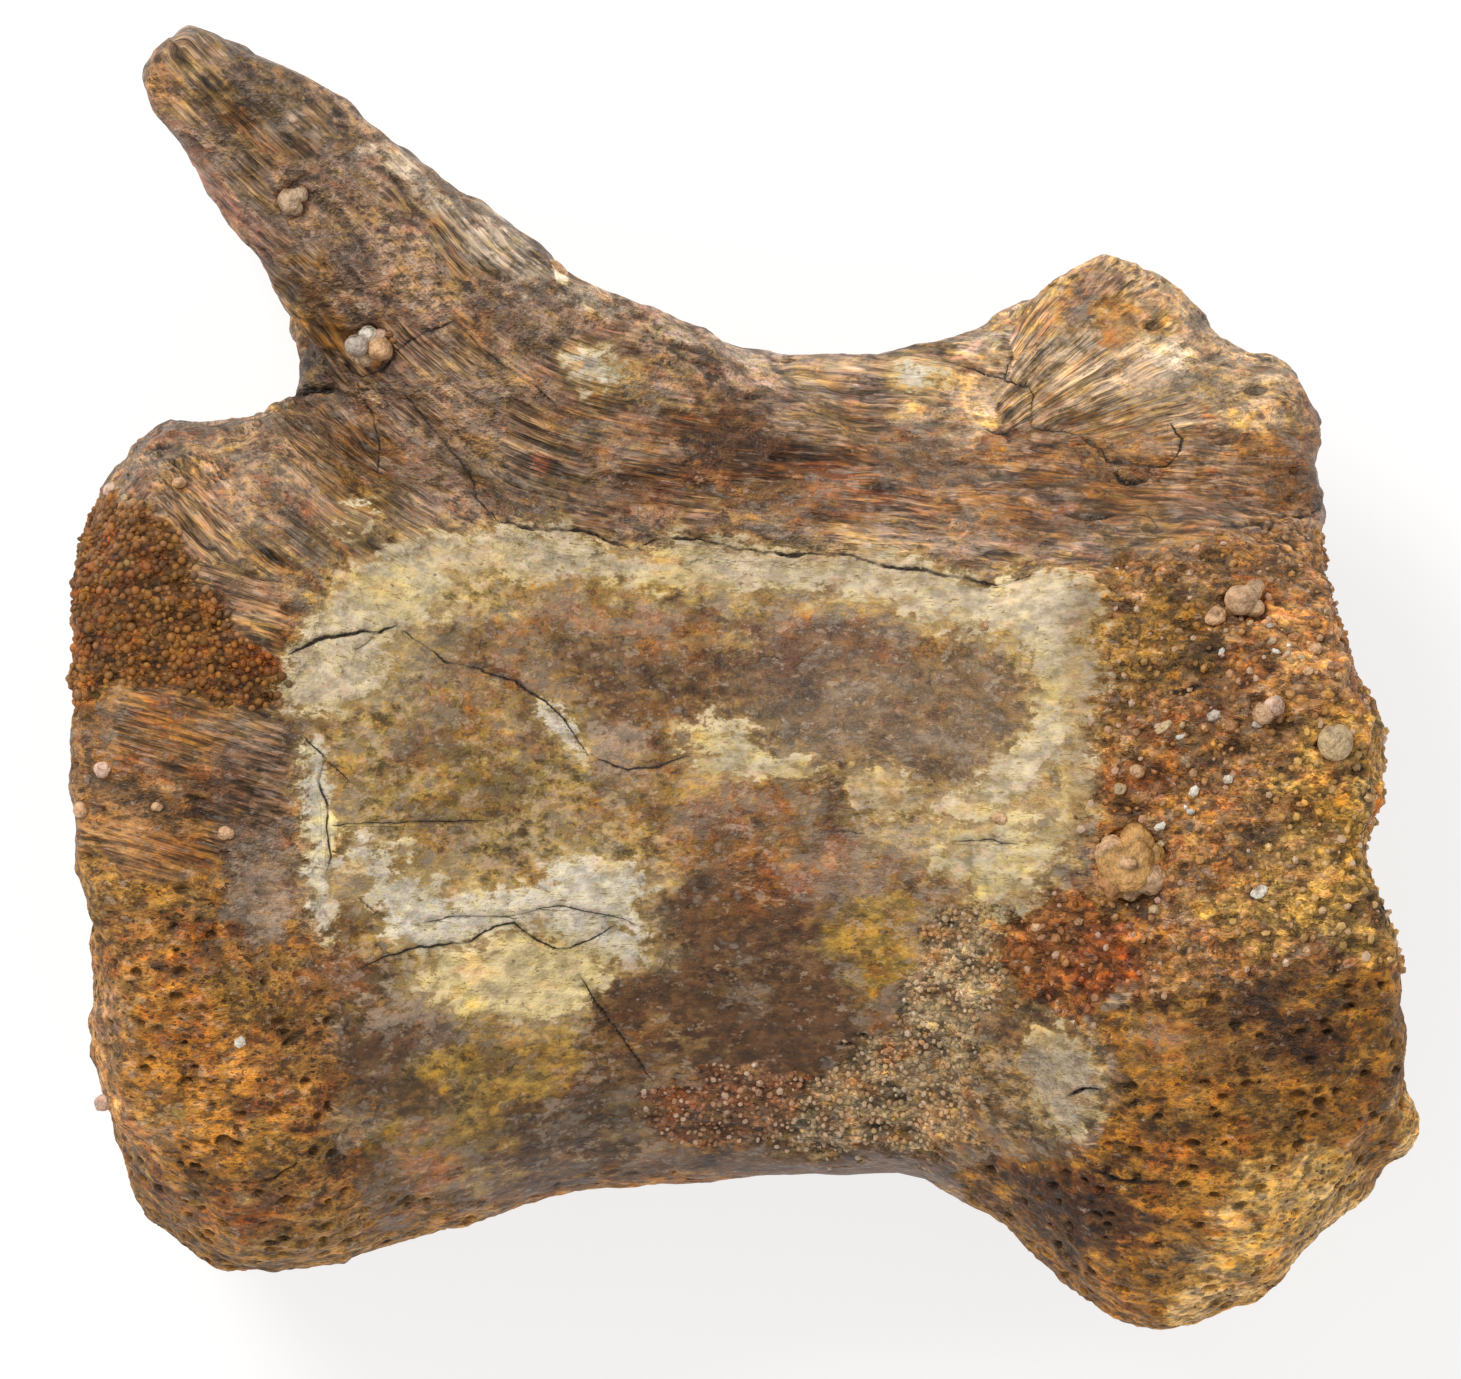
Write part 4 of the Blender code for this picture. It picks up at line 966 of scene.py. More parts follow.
@dataclass
class BoneSkin:
    """The whole bone's fine surface, made from the solid one."""

    voxel: float = 0.30
    quick_voxel: float = 0.5
    softening: int = 22
    triangles: int = 196000
    floor_gap: float = 0.08
    paint: SurfacePaint = field(default_factory=SurfacePaint)
    flow: FibreFlow = field(default_factory=FibreFlow)

    def build(self) -> bpy.types.Object:
        """Makes the skin, with its relief and its painted values.

        Returns:
            The skin's object, in metres.
        """
        piece = self._dense_copy()
        points, normals = read_points(piece.data)
        flow = self.flow.coordinates(points, self.flow.zones(points))
        height, small = self._relief(points, self.paint.textures(points), flow)
        moved = points + normals * height[:, None]
        moved[:, 2] = np.maximum(moved[:, 2], self.floor_gap)
        write_points(piece.data, moved)
        self._thin(piece)
        final, _ = read_points(piece.data)
        final[:, 2] = np.maximum(final[:, 2], self.floor_gap)
        write_points(piece.data, final)
        tree = KDTree(len(moved))
        for index, place in enumerate(moved):
            tree.insert(place, index)
        tree.balance()
        nearest = np.array([tree.find(place)[1] for place in final])
        self._store(piece.data, points[nearest], flow[nearest], small[nearest])
        write_points(piece.data, final * MM)
        piece.data.shade_smooth()
        return piece

    def _dense_copy(self) -> bpy.types.Object:
        """A fine, even mesh of the solid bone, its facets smoothed away."""
        shape = bmesh.new()
        shape.from_mesh(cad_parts["vertebra"].data)
        bmesh.ops.remove_doubles(shape, verts=shape.verts, dist=1e-6)
        bmesh.ops.scale(shape, vec=(1 / MM,) * 3, verts=shape.verts)
        mesh = bpy.data.meshes.new("bone_skin")
        shape.to_mesh(mesh)
        shape.free()
        piece = bpy.data.objects.new("bone_skin", mesh)
        bpy.context.scene.collection.objects.link(piece)
        remesh = piece.modifiers.new("even", "REMESH")
        remesh.mode = "VOXEL"
        remesh.voxel_size = self.voxel
        soften = piece.modifiers.new("soften", "SMOOTH")
        soften.factor = 0.6
        soften.iterations = self.softening
        return settle(piece)

    def _relief(self, points: np.ndarray, values: dict[str, np.ndarray],
                flow: np.ndarray) -> tuple[np.ndarray, np.ndarray]:
        """How far each point stands out from the smooth form.

        Args:
            points: Places in millimetres.
            values: The share of each texture, and the depth in the chalky layer.
            flow: Fibre coordinates.

        Returns:
            The height at each point, and the part of it that comes from small detail.
        """
        fibrous = np.clip(values["fibrous"] + 0.4 * values["crystalline"] + 0.3 * values["spongy"], 0, 1)
        smooth = values["smooth"]
        chalk = ease(0.5 + values["chalk"])
        rough = values["crystalline"]
        strands = noise(flow, (10.0, 1.2, 3.0), 61, 2)
        broad = noise(points, 5.0, 63, 2)
        lumps = noise(points, (2.6, 1.7, 2.0), 64, 2)
        fine = noise(points, (1.2, 0.8, 0.9), 65, 2)
        plain = 1 - 0.75 * smooth
        gritty = np.clip(values["gritty"] + values["sandy"], 0, 1)
        large = 0.28 * broad * plain + 0.24 * lumps * plain * (1 + 0.9 * rough) + 0.14 * chalk
        large -= 0.35 * gritty + 0.12 * values["spongy"] + 0.10 * rough
        ridges = noise(flow, (8.0, 0.6, 2.0), 62, 2)
        small = fibrous * (0.20 * strands + 0.13 * ridges) - 0.5 * pits(flow, (4.2, 1.0, 1.6), 0.2, 71, fibrous)
        small -= 0.8 * pits(points, (1.7, 1.0, 1.2), 0.36, 73, values["spongy"])
        small += 0.15 * values["spongy"] * fine
        small += 0.30 * pits(points, (0.95, 0.95, 0.95), 0.92, 74, gritty) + 0.35 * gritty * lumps
        small += rough * (0.30 * fine - 0.25 * np.abs(noise(points, 1.5, 75)))
        small -= 0.5 * pits(points, (2.4, 1.5, 1.6), 0.2, 76, rough)
        small += smooth * 0.05 * fine
        small = small * (1 - 0.75 * chalk) + chalk * (0.07 * fine + 0.06 * strands)
        small -= crack_field(points, points[:, :2])[2]
        return large + small, small

    def _thin(self, piece: bpy.types.Object) -> None:
        """Brings the mesh under its triangle limit, keeping the upper side the finest."""
        points, normals = read_points(piece.data)
        triangles = sum(len(face.vertices) - 2 for face in piece.data.polygons)
        if triangles <= self.triangles:
            return
        group = piece.vertex_groups.new(name="keep")
        keep = ease((normals[:, 2] + 0.45) / 0.6)
        for level in range(11):
            chosen = np.flatnonzero(np.round(keep * 10) == level).tolist()
            group.add(chosen, level / 10, "REPLACE")
        thin = piece.modifiers.new("thin", "DECIMATE")
        thin.ratio = self.triangles / triangles
        thin.vertex_group = "keep"
        thin.invert_vertex_group = True
        thin.vertex_group_factor = 6.0
        thin.use_collapse_triangulate = True
        settle(piece)
        piece.vertex_groups.clear()

    def _store(self, mesh: bpy.types.Mesh, points: np.ndarray, flow: np.ndarray, small: np.ndarray) -> None:
        """Writes the painted values and fibre coordinates to the mesh.

        Args:
            mesh: The skin's mesh.
            points: Where each of its points lay before the relief.
            flow: Their fibre coordinates.
            small: The small detail's height at each point, which also sets the painted shade in pits and the painted
                light on ridges.
        """
        values = self.paint.paint(points, flow)
        # Painted shade and light: the small relief's pits and troughs are darkened in the colour, and its ridges
        # lightened.
        values["cavity"] = np.clip(small / 0.5, -1.0, 1.0)
        for name, value in values.items():
            write_attribute(mesh, name, value)
        corners = np.zeros(len(mesh.loops), np.int32)
        mesh.loops.foreach_get("vertex_index", corners)
        sides = np.zeros(len(mesh.polygons), np.int32)
        mesh.polygons.foreach_get("loop_total", sides)
        face = np.repeat(np.arange(len(sides)), sides)
        middles = np.zeros((len(sides), 3))
        np.add.at(middles, face, points[corners])
        zones = self.flow.zones(middles / sides[:, None])
        write_attribute(mesh, "flow", self.flow.coordinates(points[corners], zones[face]), "CORNER")


def read_points(mesh: bpy.types.Mesh) -> tuple[np.ndarray, np.ndarray]:
    """The places and normals of a mesh's points."""
    points = np.zeros(len(mesh.vertices) * 3, np.float32)
    normals = np.zeros(len(mesh.vertices) * 3, np.float32)
    mesh.vertices.foreach_get("co", points)
    mesh.vertices.foreach_get("normal", normals)
    return points.reshape(-1, 3).astype(float), normals.reshape(-1, 3).astype(float)


def write_points(mesh: bpy.types.Mesh, points: np.ndarray) -> None:
    """Moves a mesh's points."""
    mesh.vertices.foreach_set("co", points.astype(np.float32).ravel())
    mesh.update()


def write_attribute(mesh: bpy.types.Mesh, name: str, value: np.ndarray, domain: str = "POINT") -> None:
    """Keeps one value, vector or colour for each point or corner of a mesh, under a name."""
    if value.ndim == 1:
        made = mesh.attributes.new(name, "FLOAT", domain)
        made.data.foreach_set("value", value.astype(np.float32))
    elif name.endswith("tone"):
        made = mesh.attributes.new(name, "FLOAT_COLOR", domain)
        made.data.foreach_set("color", np.column_stack([value, np.ones(len(value))]).astype(np.float32).ravel())
    else:
        made = mesh.attributes.new(name, "FLOAT_VECTOR", domain)
        made.data.foreach_set("vector", value.astype(np.float32).ravel())


def settle(piece: bpy.types.Object) -> bpy.types.Object:
    """Applies an object's modifiers to its mesh."""
    graph = bpy.context.evaluated_depsgraph_get()
    mesh = bpy.data.meshes.new_from_object(piece.evaluated_get(graph))
    piece.modifiers.clear()
    piece.data = mesh
    return piece


class Graph:
    """A node tree, with short calls that add its nodes and join them."""

    def __init__(self, tree: bpy.types.NodeTree) -> None:
        """Starts on an empty tree."""
        self.tree = tree

    def add(self, kind: str, inputs: dict[str | int, object] | None = None, **settings: object) -> bpy.types.Node:
        """Adds a node.

        Args:
            kind: Blender's name for the node's type.
            inputs: A value or a socket for each input, by its name or number.
            settings: The node's own settings.

        Returns:
            The node.
        """
        node = self.tree.nodes.new(kind)
        for name, value in settings.items():
            setattr(node, name, value)
        for name, value in (inputs or {}).items():
            self.feed(node.inputs[name], value)
        return node

    def feed(self, socket: bpy.types.NodeSocket, value: object) -> None:
        """Joins a socket to an input, or sets the input's own value."""
        if isinstance(value, bpy.types.NodeSocket):
            self.tree.links.new(value, socket)
        else:
            socket.default_value = value

    def math(self, operation: str, first: object, second: object = 0.0, clamp: bool = False) -> bpy.types.NodeSocket:
        """The result of a sum on two values."""
        return self.add("ShaderNodeMath", {0: first, 1: second}, operation=operation, use_clamp=clamp).outputs[0]

    def ramp(self, value: object, low: float, high: float, to_low: float = 0.0,
             to_high: float = 1.0) -> bpy.types.NodeSocket:
        """A smooth step from one value to another, as the input goes from low to high."""
        node = self.add("ShaderNodeMapRange", {"Value": value, "From Min": low, "From Max": high,
                                               "To Min": to_low, "To Max": to_high},
                        interpolation_type="SMOOTHSTEP")
        return node.outputs[0]

    def value(self, name: str) -> bpy.types.NodeSocket:
        """A value kept on the mesh's points."""
        return self.add("ShaderNodeAttribute", attribute_name=name).outputs["Fac"]

    def colour(self, name: str) -> bpy.types.NodeSocket:
        """A colour kept on the mesh's points."""
        return self.add("ShaderNodeAttribute", attribute_name=name).outputs["Color"]

    def vector(self, name: str) -> bpy.types.NodeSocket:
        """A vector kept on the mesh's points."""
        return self.add("ShaderNodeAttribute", attribute_name=name).outputs["Vector"]

    def stretch(self, place: object, sizes: tuple[float, float, float]) -> bpy.types.NodeSocket:
        """A place divided by a size along each axis."""
        node = self.add("ShaderNodeVectorMath", {0: place, 1: tuple(1 / size for size in sizes)},
                        operation="MULTIPLY")
        return node.outputs[0]

    def noise(self, place: object, detail: float = 3.0, roughness: float = 0.55,
              distortion: float = 0.0) -> bpy.types.NodeSocket:
        """Noise from 0 to 1, with lumps of about one unit."""
        node = self.add("ShaderNodeTexNoise", {"Vector": place, "Scale": 1.0, "Detail": detail,
                                               "Roughness": roughness, "Distortion": distortion})
        return node.outputs["Fac"]

    def mix(self, share: object, first: object, second: object, how: str = "MIX") -> bpy.types.NodeSocket:
        """Mixes two colours."""
        node = self.add("ShaderNodeMix", {0: share, 6: first, 7: second}, data_type="RGBA", blend_type=how)
        return node.outputs[2]

    def scale_colour(self, colour: object, factor: object) -> bpy.types.NodeSocket:
        """A colour made lighter or darker by a factor."""
        node = self.add("ShaderNodeVectorMath", {0: colour, 3: factor}, operation="SCALE")
        return node.outputs[0]


def new_group(name: str, inputs: dict[str, tuple[str, object]], outputs: dict[str, str]) -> tuple[
        bpy.types.NodeTree, Graph, dict[str, bpy.types.NodeSocket], bpy.types.Node]:
    """Starts a shader node group.

    Args:
        name: The group's name.
        inputs: For each input its socket type and first value.
        outputs: For each output its socket type.

    Returns:
        The tree, a graph on it, the input sockets by name, and the output node.
    """
    tree = bpy.data.node_groups.new(name, "ShaderNodeTree")
    for label, (kind, start) in inputs.items():
        made = tree.interface.new_socket(label, in_out="INPUT", socket_type=kind)
        if start is not None:
            made.default_value = start
    for label, kind in outputs.items():
        tree.interface.new_socket(label, in_out="OUTPUT", socket_type=kind)
    graph = Graph(tree)
    entry = graph.add("NodeGroupInput")
    sockets = {label: entry.outputs[label] for label in inputs}
    return tree, graph, sockets, graph.add("NodeGroupOutput")


FLOAT = "NodeSocketFloat"
VECTOR = "NodeSocketVector"
COLOUR = "NodeSocketColor"


def fleck_group() -> bpy.types.NodeTree:
    """Flecks: each turns the colour darker, paler, yellower or redder, by a cloud of three random values."""
    tree, graph, given, out = new_group(
        "flecks", {"Cloud": (COLOUR, (0.5, 0.5, 0.5, 1.0)), "Colour": (COLOUR, (0.5, 0.5, 0.5, 1.0)),
                   "Dark": (FLOAT, 0.3), "Pale": (FLOAT, 0.3), "Ochre": (FLOAT, 0.3), "Rust": (FLOAT, 0.3),
                   "Contrast": (FLOAT, 1.0)},
        {"Colour": COLOUR})
    parts = graph.add("ShaderNodeSeparateColor", {0: given["Cloud"]})
    value, kind, hue = parts.outputs[0], parts.outputs[1], parts.outputs[2]
    swing = graph.math("MULTIPLY_ADD", graph.ramp(value, 0.36, 0.64, -0.5, 0.5), given["Contrast"])
    swing.node.inputs[2].default_value = 1.0
    lit = graph.scale_colour(given["Colour"], swing)
    ochre = level_mask(graph, hue, given["Ochre"], 0.64, 0.40)
    rust = level_mask(graph, graph.math("SUBTRACT", 1.0, hue), given["Rust"], 0.64, 0.40)
    yellower = graph.mix(ochre, lit, graph.mix(1.0, lit, (*OCHRE_TINT.tolist(), 1.0), "MULTIPLY"))
    redder = graph.mix(rust, yellower, graph.mix(1.0, yellower, (*RUST_TINT.tolist(), 1.0), "MULTIPLY"))
    pale = graph.math("MULTIPLY", level_mask(graph, kind, given["Pale"], 0.68, 0.40), 0.62)
    dark = graph.math("MULTIPLY", level_mask(graph, graph.math("SUBTRACT", 1.0, kind), given["Dark"],
                                            0.68, 0.40), 0.80)
    bright = graph.mix(0.5, graph.scale_colour(redder, 1.6), (*PALE_FLECK.tolist(), 1.0))
    paler = graph.mix(pale, redder, bright)
    darker = graph.mix(dark, paler, graph.scale_colour(paler, DARK_SHADE))
    graph.feed(out.inputs["Colour"], darker)
    return tree


def level_mask(graph: Graph, value: object, level: object, start: float, span: float) -> bpy.types.NodeSocket:
    """A mask of a noise value, which covers more where the level is higher.

    Args:
        graph: The tree.
        value: The noise.
        level: How much of the surface is covered, from 0 to 1.
        start: Noise value at which a level of 0 starts to show.
        span: How far a level of 1 lowers that.

    Returns:
        The mask.
    """
    raised = graph.math("MULTIPLY_ADD", level, span)
    raised.node.inputs[2].default_value = -start
    return graph.ramp(graph.math("ADD", value, raised), 0.0, 0.05)


def grain_group() -> bpy.types.NodeTree:
    """Cemented grains or open pores: a height and a brightness for each grain, darkened towards its edge as painted
    shade, and specks, holes and pores.
    """
    tree, graph, given, out = new_group(
        "grains and pores", {"Place": (VECTOR, None), "Size": (FLOAT, 0.7), "Amount": (FLOAT, 0.5)},
        {"Height": FLOAT, "Light": FLOAT, "Speck": FLOAT, "Hole": FLOAT, "Pore": FLOAT})
    scale = graph.math("DIVIDE", 1.0, given["Size"])
    place = graph.stretch(given["Place"], (1.35, 0.85, 1.05))
    cells = graph.add("ShaderNodeTexVoronoi", {"Vector": place, "Scale": scale}, feature="F1")
    graph.feed(out.inputs["Height"], graph.ramp(cells.outputs["Distance"], 0.75, 0.0))
    parts = graph.add("ShaderNodeSeparateColor", {0: cells.outputs["Color"]})
    light = graph.ramp(parts.outputs[0], 0.0, 1.0, 0.6, 1.55)
    for label, part, reach in (("Speck", 1, 0.40), ("Hole", 2, 0.34)):
        chosen = graph.ramp(parts.outputs[part], 0.80, 0.90)
        near = graph.ramp(cells.outputs["Distance"], reach, reach - 0.16)
        graph.feed(out.inputs[label], graph.math("MULTIPLY", chosen, near))
    # Painted shade: each grain turns darker towards its edge, where the gaps between grains lie.
    gap_shade = graph.ramp(cells.outputs["Distance"], 0.42, 0.75, 1.0, 0.60)
    graph.feed(out.inputs["Light"], graph.math("MULTIPLY", light, gap_shade))
    radius = graph.math("MULTIPLY", graph.math("SUBTRACT", given["Amount"], parts.outputs[1]), 0.62)
    inside = graph.math("SUBTRACT", radius, cells.outputs["Distance"])
    graph.feed(out.inputs["Pore"], graph.ramp(inside, -0.03, 0.12))
    return tree


@dataclass
class BoneMaterial:
    """The skin's material: painted tones, broken up by flecks, strands, pores, grains and cracks."""

    name: str = "mineralised bone"
    roughness: float = 0.66

    def build(self) -> bpy.types.Material:
        """Makes the material.

        Returns:
            The material, reading the values that SurfacePaint keeps on the skin.
        """
        material = bpy.data.materials.new(self.name)
        material.use_nodes = True
        graph = Graph(material.node_tree)
        shader = material.node_tree.nodes["Principled BSDF"]
        texture = graph.add("ShaderNodeTexCoord")
        place = graph.add("ShaderNodeVectorMath", {0: texture.outputs["Object"], 3: 1 / MM},
                          operation="SCALE").outputs[0]
        flow = graph.vector("flow")
        share = {kind: graph.value(kind.value) for kind in Texture}
        rough, smooth, fibrous = share[Texture.CRYSTALLINE], share[Texture.SMOOTH], share[Texture.FIBROUS]
        even = graph.add("ShaderNodeTexNoise", {"Vector": graph.stretch(place, (1.45, 0.95, 1.1)),
                                                "Scale": 1.0, "Detail": 3.0, "Roughness": 0.72})
        edge = even.outputs["Fac"]
        warped = graph.add("ShaderNodeVectorMath", {0: edge, 1: (1.6, -1.6, 1.6), 2: place},
                           operation="MULTIPLY_ADD").outputs[0]
        grains = placed_group(graph, "grains and pores", Place=warped, Size=0.6, Amount=0.68)
        drawn = graph.add("ShaderNodeTexNoise", {"Vector": graph.stretch(flow, (4.2, 0.42, 1.2)),
                                                 "Scale": 1.0, "Detail": 2.0, "Roughness": 0.62})
        fine = graph.ramp(graph.noise(graph.stretch(flow, (8.0, 0.18, 0.8)), 1.0, 0.6), 0.38, 0.62, -1.0, 1.0)
        seam = graph.math("ABSOLUTE", graph.math("SUBTRACT", drawn.outputs["Fac"], 0.5))
        drawn_share = graph.value("streaky")
        cloud = graph.mix(drawn_share, even.outputs["Color"], drawn.outputs["Color"])
        kinds = graph.add("ShaderNodeSeparateColor", {0: even.outputs["Color"]})
        seam = graph.math("MULTIPLY", graph.ramp(seam, 0.020, 0.005), graph.ramp(kinds.outputs[2], 0.50, 0.56))

        flecks = placed_group(graph, "flecks", Cloud=cloud, Colour=graph.colour("tone"))
        for label in ("Dark", "Pale", "Ochre", "Rust"):
            graph.feed(flecks.inputs[label], graph.value(label.lower()))
        graph.feed(flecks.inputs["Contrast"], graph.ramp(smooth, 0.0, 1.0, 1.3, 0.85))
        tone = flecks.outputs["Colour"]
        edge_shift = graph.ramp(edge, 0.35, 0.65, -1.0, 1.0)
        patch_edge = graph.math("MULTIPLY", edge_shift, 0.24)
        broken = graph.ramp(kinds.outputs[1], 0.36, 0.60, 0.25, 1.0)
        dark_patch = graph.ramp(graph.math("ADD", graph.value("dark_patch"), patch_edge), -0.14, 0.10, 0.0, 0.85)
        tone = graph.mix(graph.math("MULTIPLY", dark_patch, broken), tone, graph.scale_colour(tone, DARK_SHADE))
        pale_patch = graph.ramp(graph.math("SUBTRACT", graph.value("pale_patch"), patch_edge), -0.18, 0.14, 0.0, 0.80)
        pale_patch = graph.math("MULTIPLY", pale_patch, graph.math("SUBTRACT", 1.2, broken), clamp=True)
        bleached = graph.mix(graph.ramp(graph.math("MAXIMUM", smooth, fibrous), 0.0, 1.0, 0.10, 0.42),
                             graph.scale_colour(tone, 1.45), (*PALE_FLECK.tolist(), 1.0))
        tone = graph.mix(pale_patch, tone, bleached)
        loose = graph.ramp(share[Texture.GRITTY], 0.0, 1.0, 0.40, 0.0)
        tone = graph.mix(graph.math("MULTIPLY", grains.outputs["Speck"], loose), tone,
                         graph.mix(0.5, graph.scale_colour(tone, 1.8), (*PALE_FLECK.tolist(), 1.0)))
        tone = graph.mix(graph.math("MULTIPLY", grains.outputs["Hole"], loose), tone,
                         graph.scale_colour(tone, 0.25))
        strand_share = graph.math("ADD", fibrous, graph.math("MULTIPLY", rough, 0.25), clamp=True)
        strand = graph.math("MULTIPLY", fine, graph.math("MULTIPLY", strand_share, 0.13))
        tone = graph.scale_colour(tone, graph.math("ADD", 1.0, strand))
        seams = graph.math("MULTIPLY", seam, graph.ramp(strand_share, 0.0, 1.0, 0.25, 0.8))
        tone = graph.mix(seams, tone, graph.scale_colour(tone, 0.22))
        gritty = graph.math("ADD", share[Texture.GRITTY], share[Texture.SANDY])
        grainy = graph.math("ADD", gritty, graph.math("MULTIPLY", rough, 0.6), clamp=True)
        # Each grain's own brightness, with the painted shade towards its edge.
        tone = graph.mix(grainy, tone, graph.scale_colour(tone, grains.outputs["Light"]))
        pore_share = graph.math("ADD", share[Texture.SPONGY], graph.math("MULTIPLY", rough, 0.5), clamp=True)
        clustered = graph.ramp(graph.value("dark_patch"), -0.5, 0.1, 0.45, 1.15)
        pores = graph.math("MULTIPLY", grains.outputs["Pore"], graph.math("MULTIPLY", pore_share, clustered),
                           clamp=True)
        tone = graph.mix(graph.math("MULTIPLY", pores, 0.8), tone, PORE_DARK)

        depth = graph.math("ADD", graph.value("chalk"), edge_shift)
        stained = graph.mix(0.5, graph.mix(1.0, tone, (1.7, 1.55, 0.9, 1.0), "MULTIPLY"), (0.40, 0.27, 0.09, 1.0))
        tone = graph.mix(graph.ramp(depth, -2.2, 0.0, 0.0, 0.75), tone, stained)
        chalk = graph.ramp(depth, -0.55, 0.60)
        chalk_light = graph.math("ADD", graph.ramp(edge, 0.35, 0.65, 0.82, 1.16),
                                 graph.math("MULTIPLY", fine, 0.07))
        scraps = placed_group(graph, "flecks", Cloud=even.outputs["Color"], Colour=graph.colour("chalk_tone"),
                              Dark=0.10, Pale=0.30, Ochre=0.40, Rust=0.22, Contrast=0.6)
        chalk_tone = graph.mix(0.6, graph.scale_colour(graph.colour("chalk_tone"), chalk_light),
                               scraps.outputs["Colour"])
        whiter = graph.ramp(depth, 0.8, 3.2, 0.0, 0.35)
        chalk_tone = graph.mix(whiter, chalk_tone, graph.mix(0.5, chalk_tone, (0.84, 0.74, 0.56, 1.0)))
        flaws = graph.math("MAXIMUM", graph.math("MULTIPLY", seam, 0.75),
                           graph.math("MULTIPLY", grains.outputs["Hole"], 0.7))
        chalk_tone = graph.mix(flaws, chalk_tone, (0.20, 0.10, 0.04, 1.0))
        tone = graph.mix(chalk, tone, chalk_tone)

        # Painted shade in the relief's pits and troughs, and painted light on its ridges.
        cavity = graph.ramp(graph.value("cavity"), -0.9, 0.5, 0.45, 1.20)
        tone = graph.scale_colour(tone, cavity)
        jag = graph.math("MULTIPLY", edge_shift, 0.30)
        gap = graph.math("ABSOLUTE", graph.math("ADD", graph.value("crack"), jag))
        crack = graph.math("MULTIPLY", graph.ramp(gap, 1.15, 0.55), graph.value("crack_shade"))
        tone = graph.mix(graph.math("MULTIPLY", crack, 0.95), tone, (0.020, 0.011, 0.007, 1.0))

        height = graph.mix(drawn_share, even.outputs["Fac"], drawn.outputs["Fac"])
        height = graph.math("MULTIPLY", height, graph.ramp(smooth, 0.0, 1.0, 0.75, 0.32))
        grain_height = graph.math("MULTIPLY", grains.outputs["Height"], grainy)
        height = graph.math("ADD", height, graph.math("MULTIPLY", grain_height, 0.30))
        height = graph.math("SUBTRACT", height, graph.math("MULTIPLY", pores, 0.40))
        bump = graph.add("ShaderNodeBump", {"Height": height, "Strength": 1.0, "Distance": MM})

        graph.feed(shader.inputs["Base Color"], tone)
        gloss = graph.ramp(graph.math("MAXIMUM", smooth, fibrous), 0.0, 1.0, self.roughness, self.roughness - 0.16)
        graph.feed(shader.inputs["Roughness"], graph.ramp(chalk, 0.0, 1.0, gloss, self.roughness))
        graph.feed(shader.inputs["Normal"], bump.outputs[0])
        shader.inputs["Specular IOR Level"].default_value = 0.45
        return material


def placed_group(graph: Graph, name: str, **values: object) -> bpy.types.Node:
    """Places a shader group with its own values."""
    node = graph.add("ShaderNodeGroup", node_tree=bpy.data.node_groups[name])
    for label, value in values.items():
        graph.feed(node.inputs[label], value)
    return node


class GrainShape(Enum):
    """How a small grain is formed."""

    ROUND = "round"
    ANGULAR = "angular"


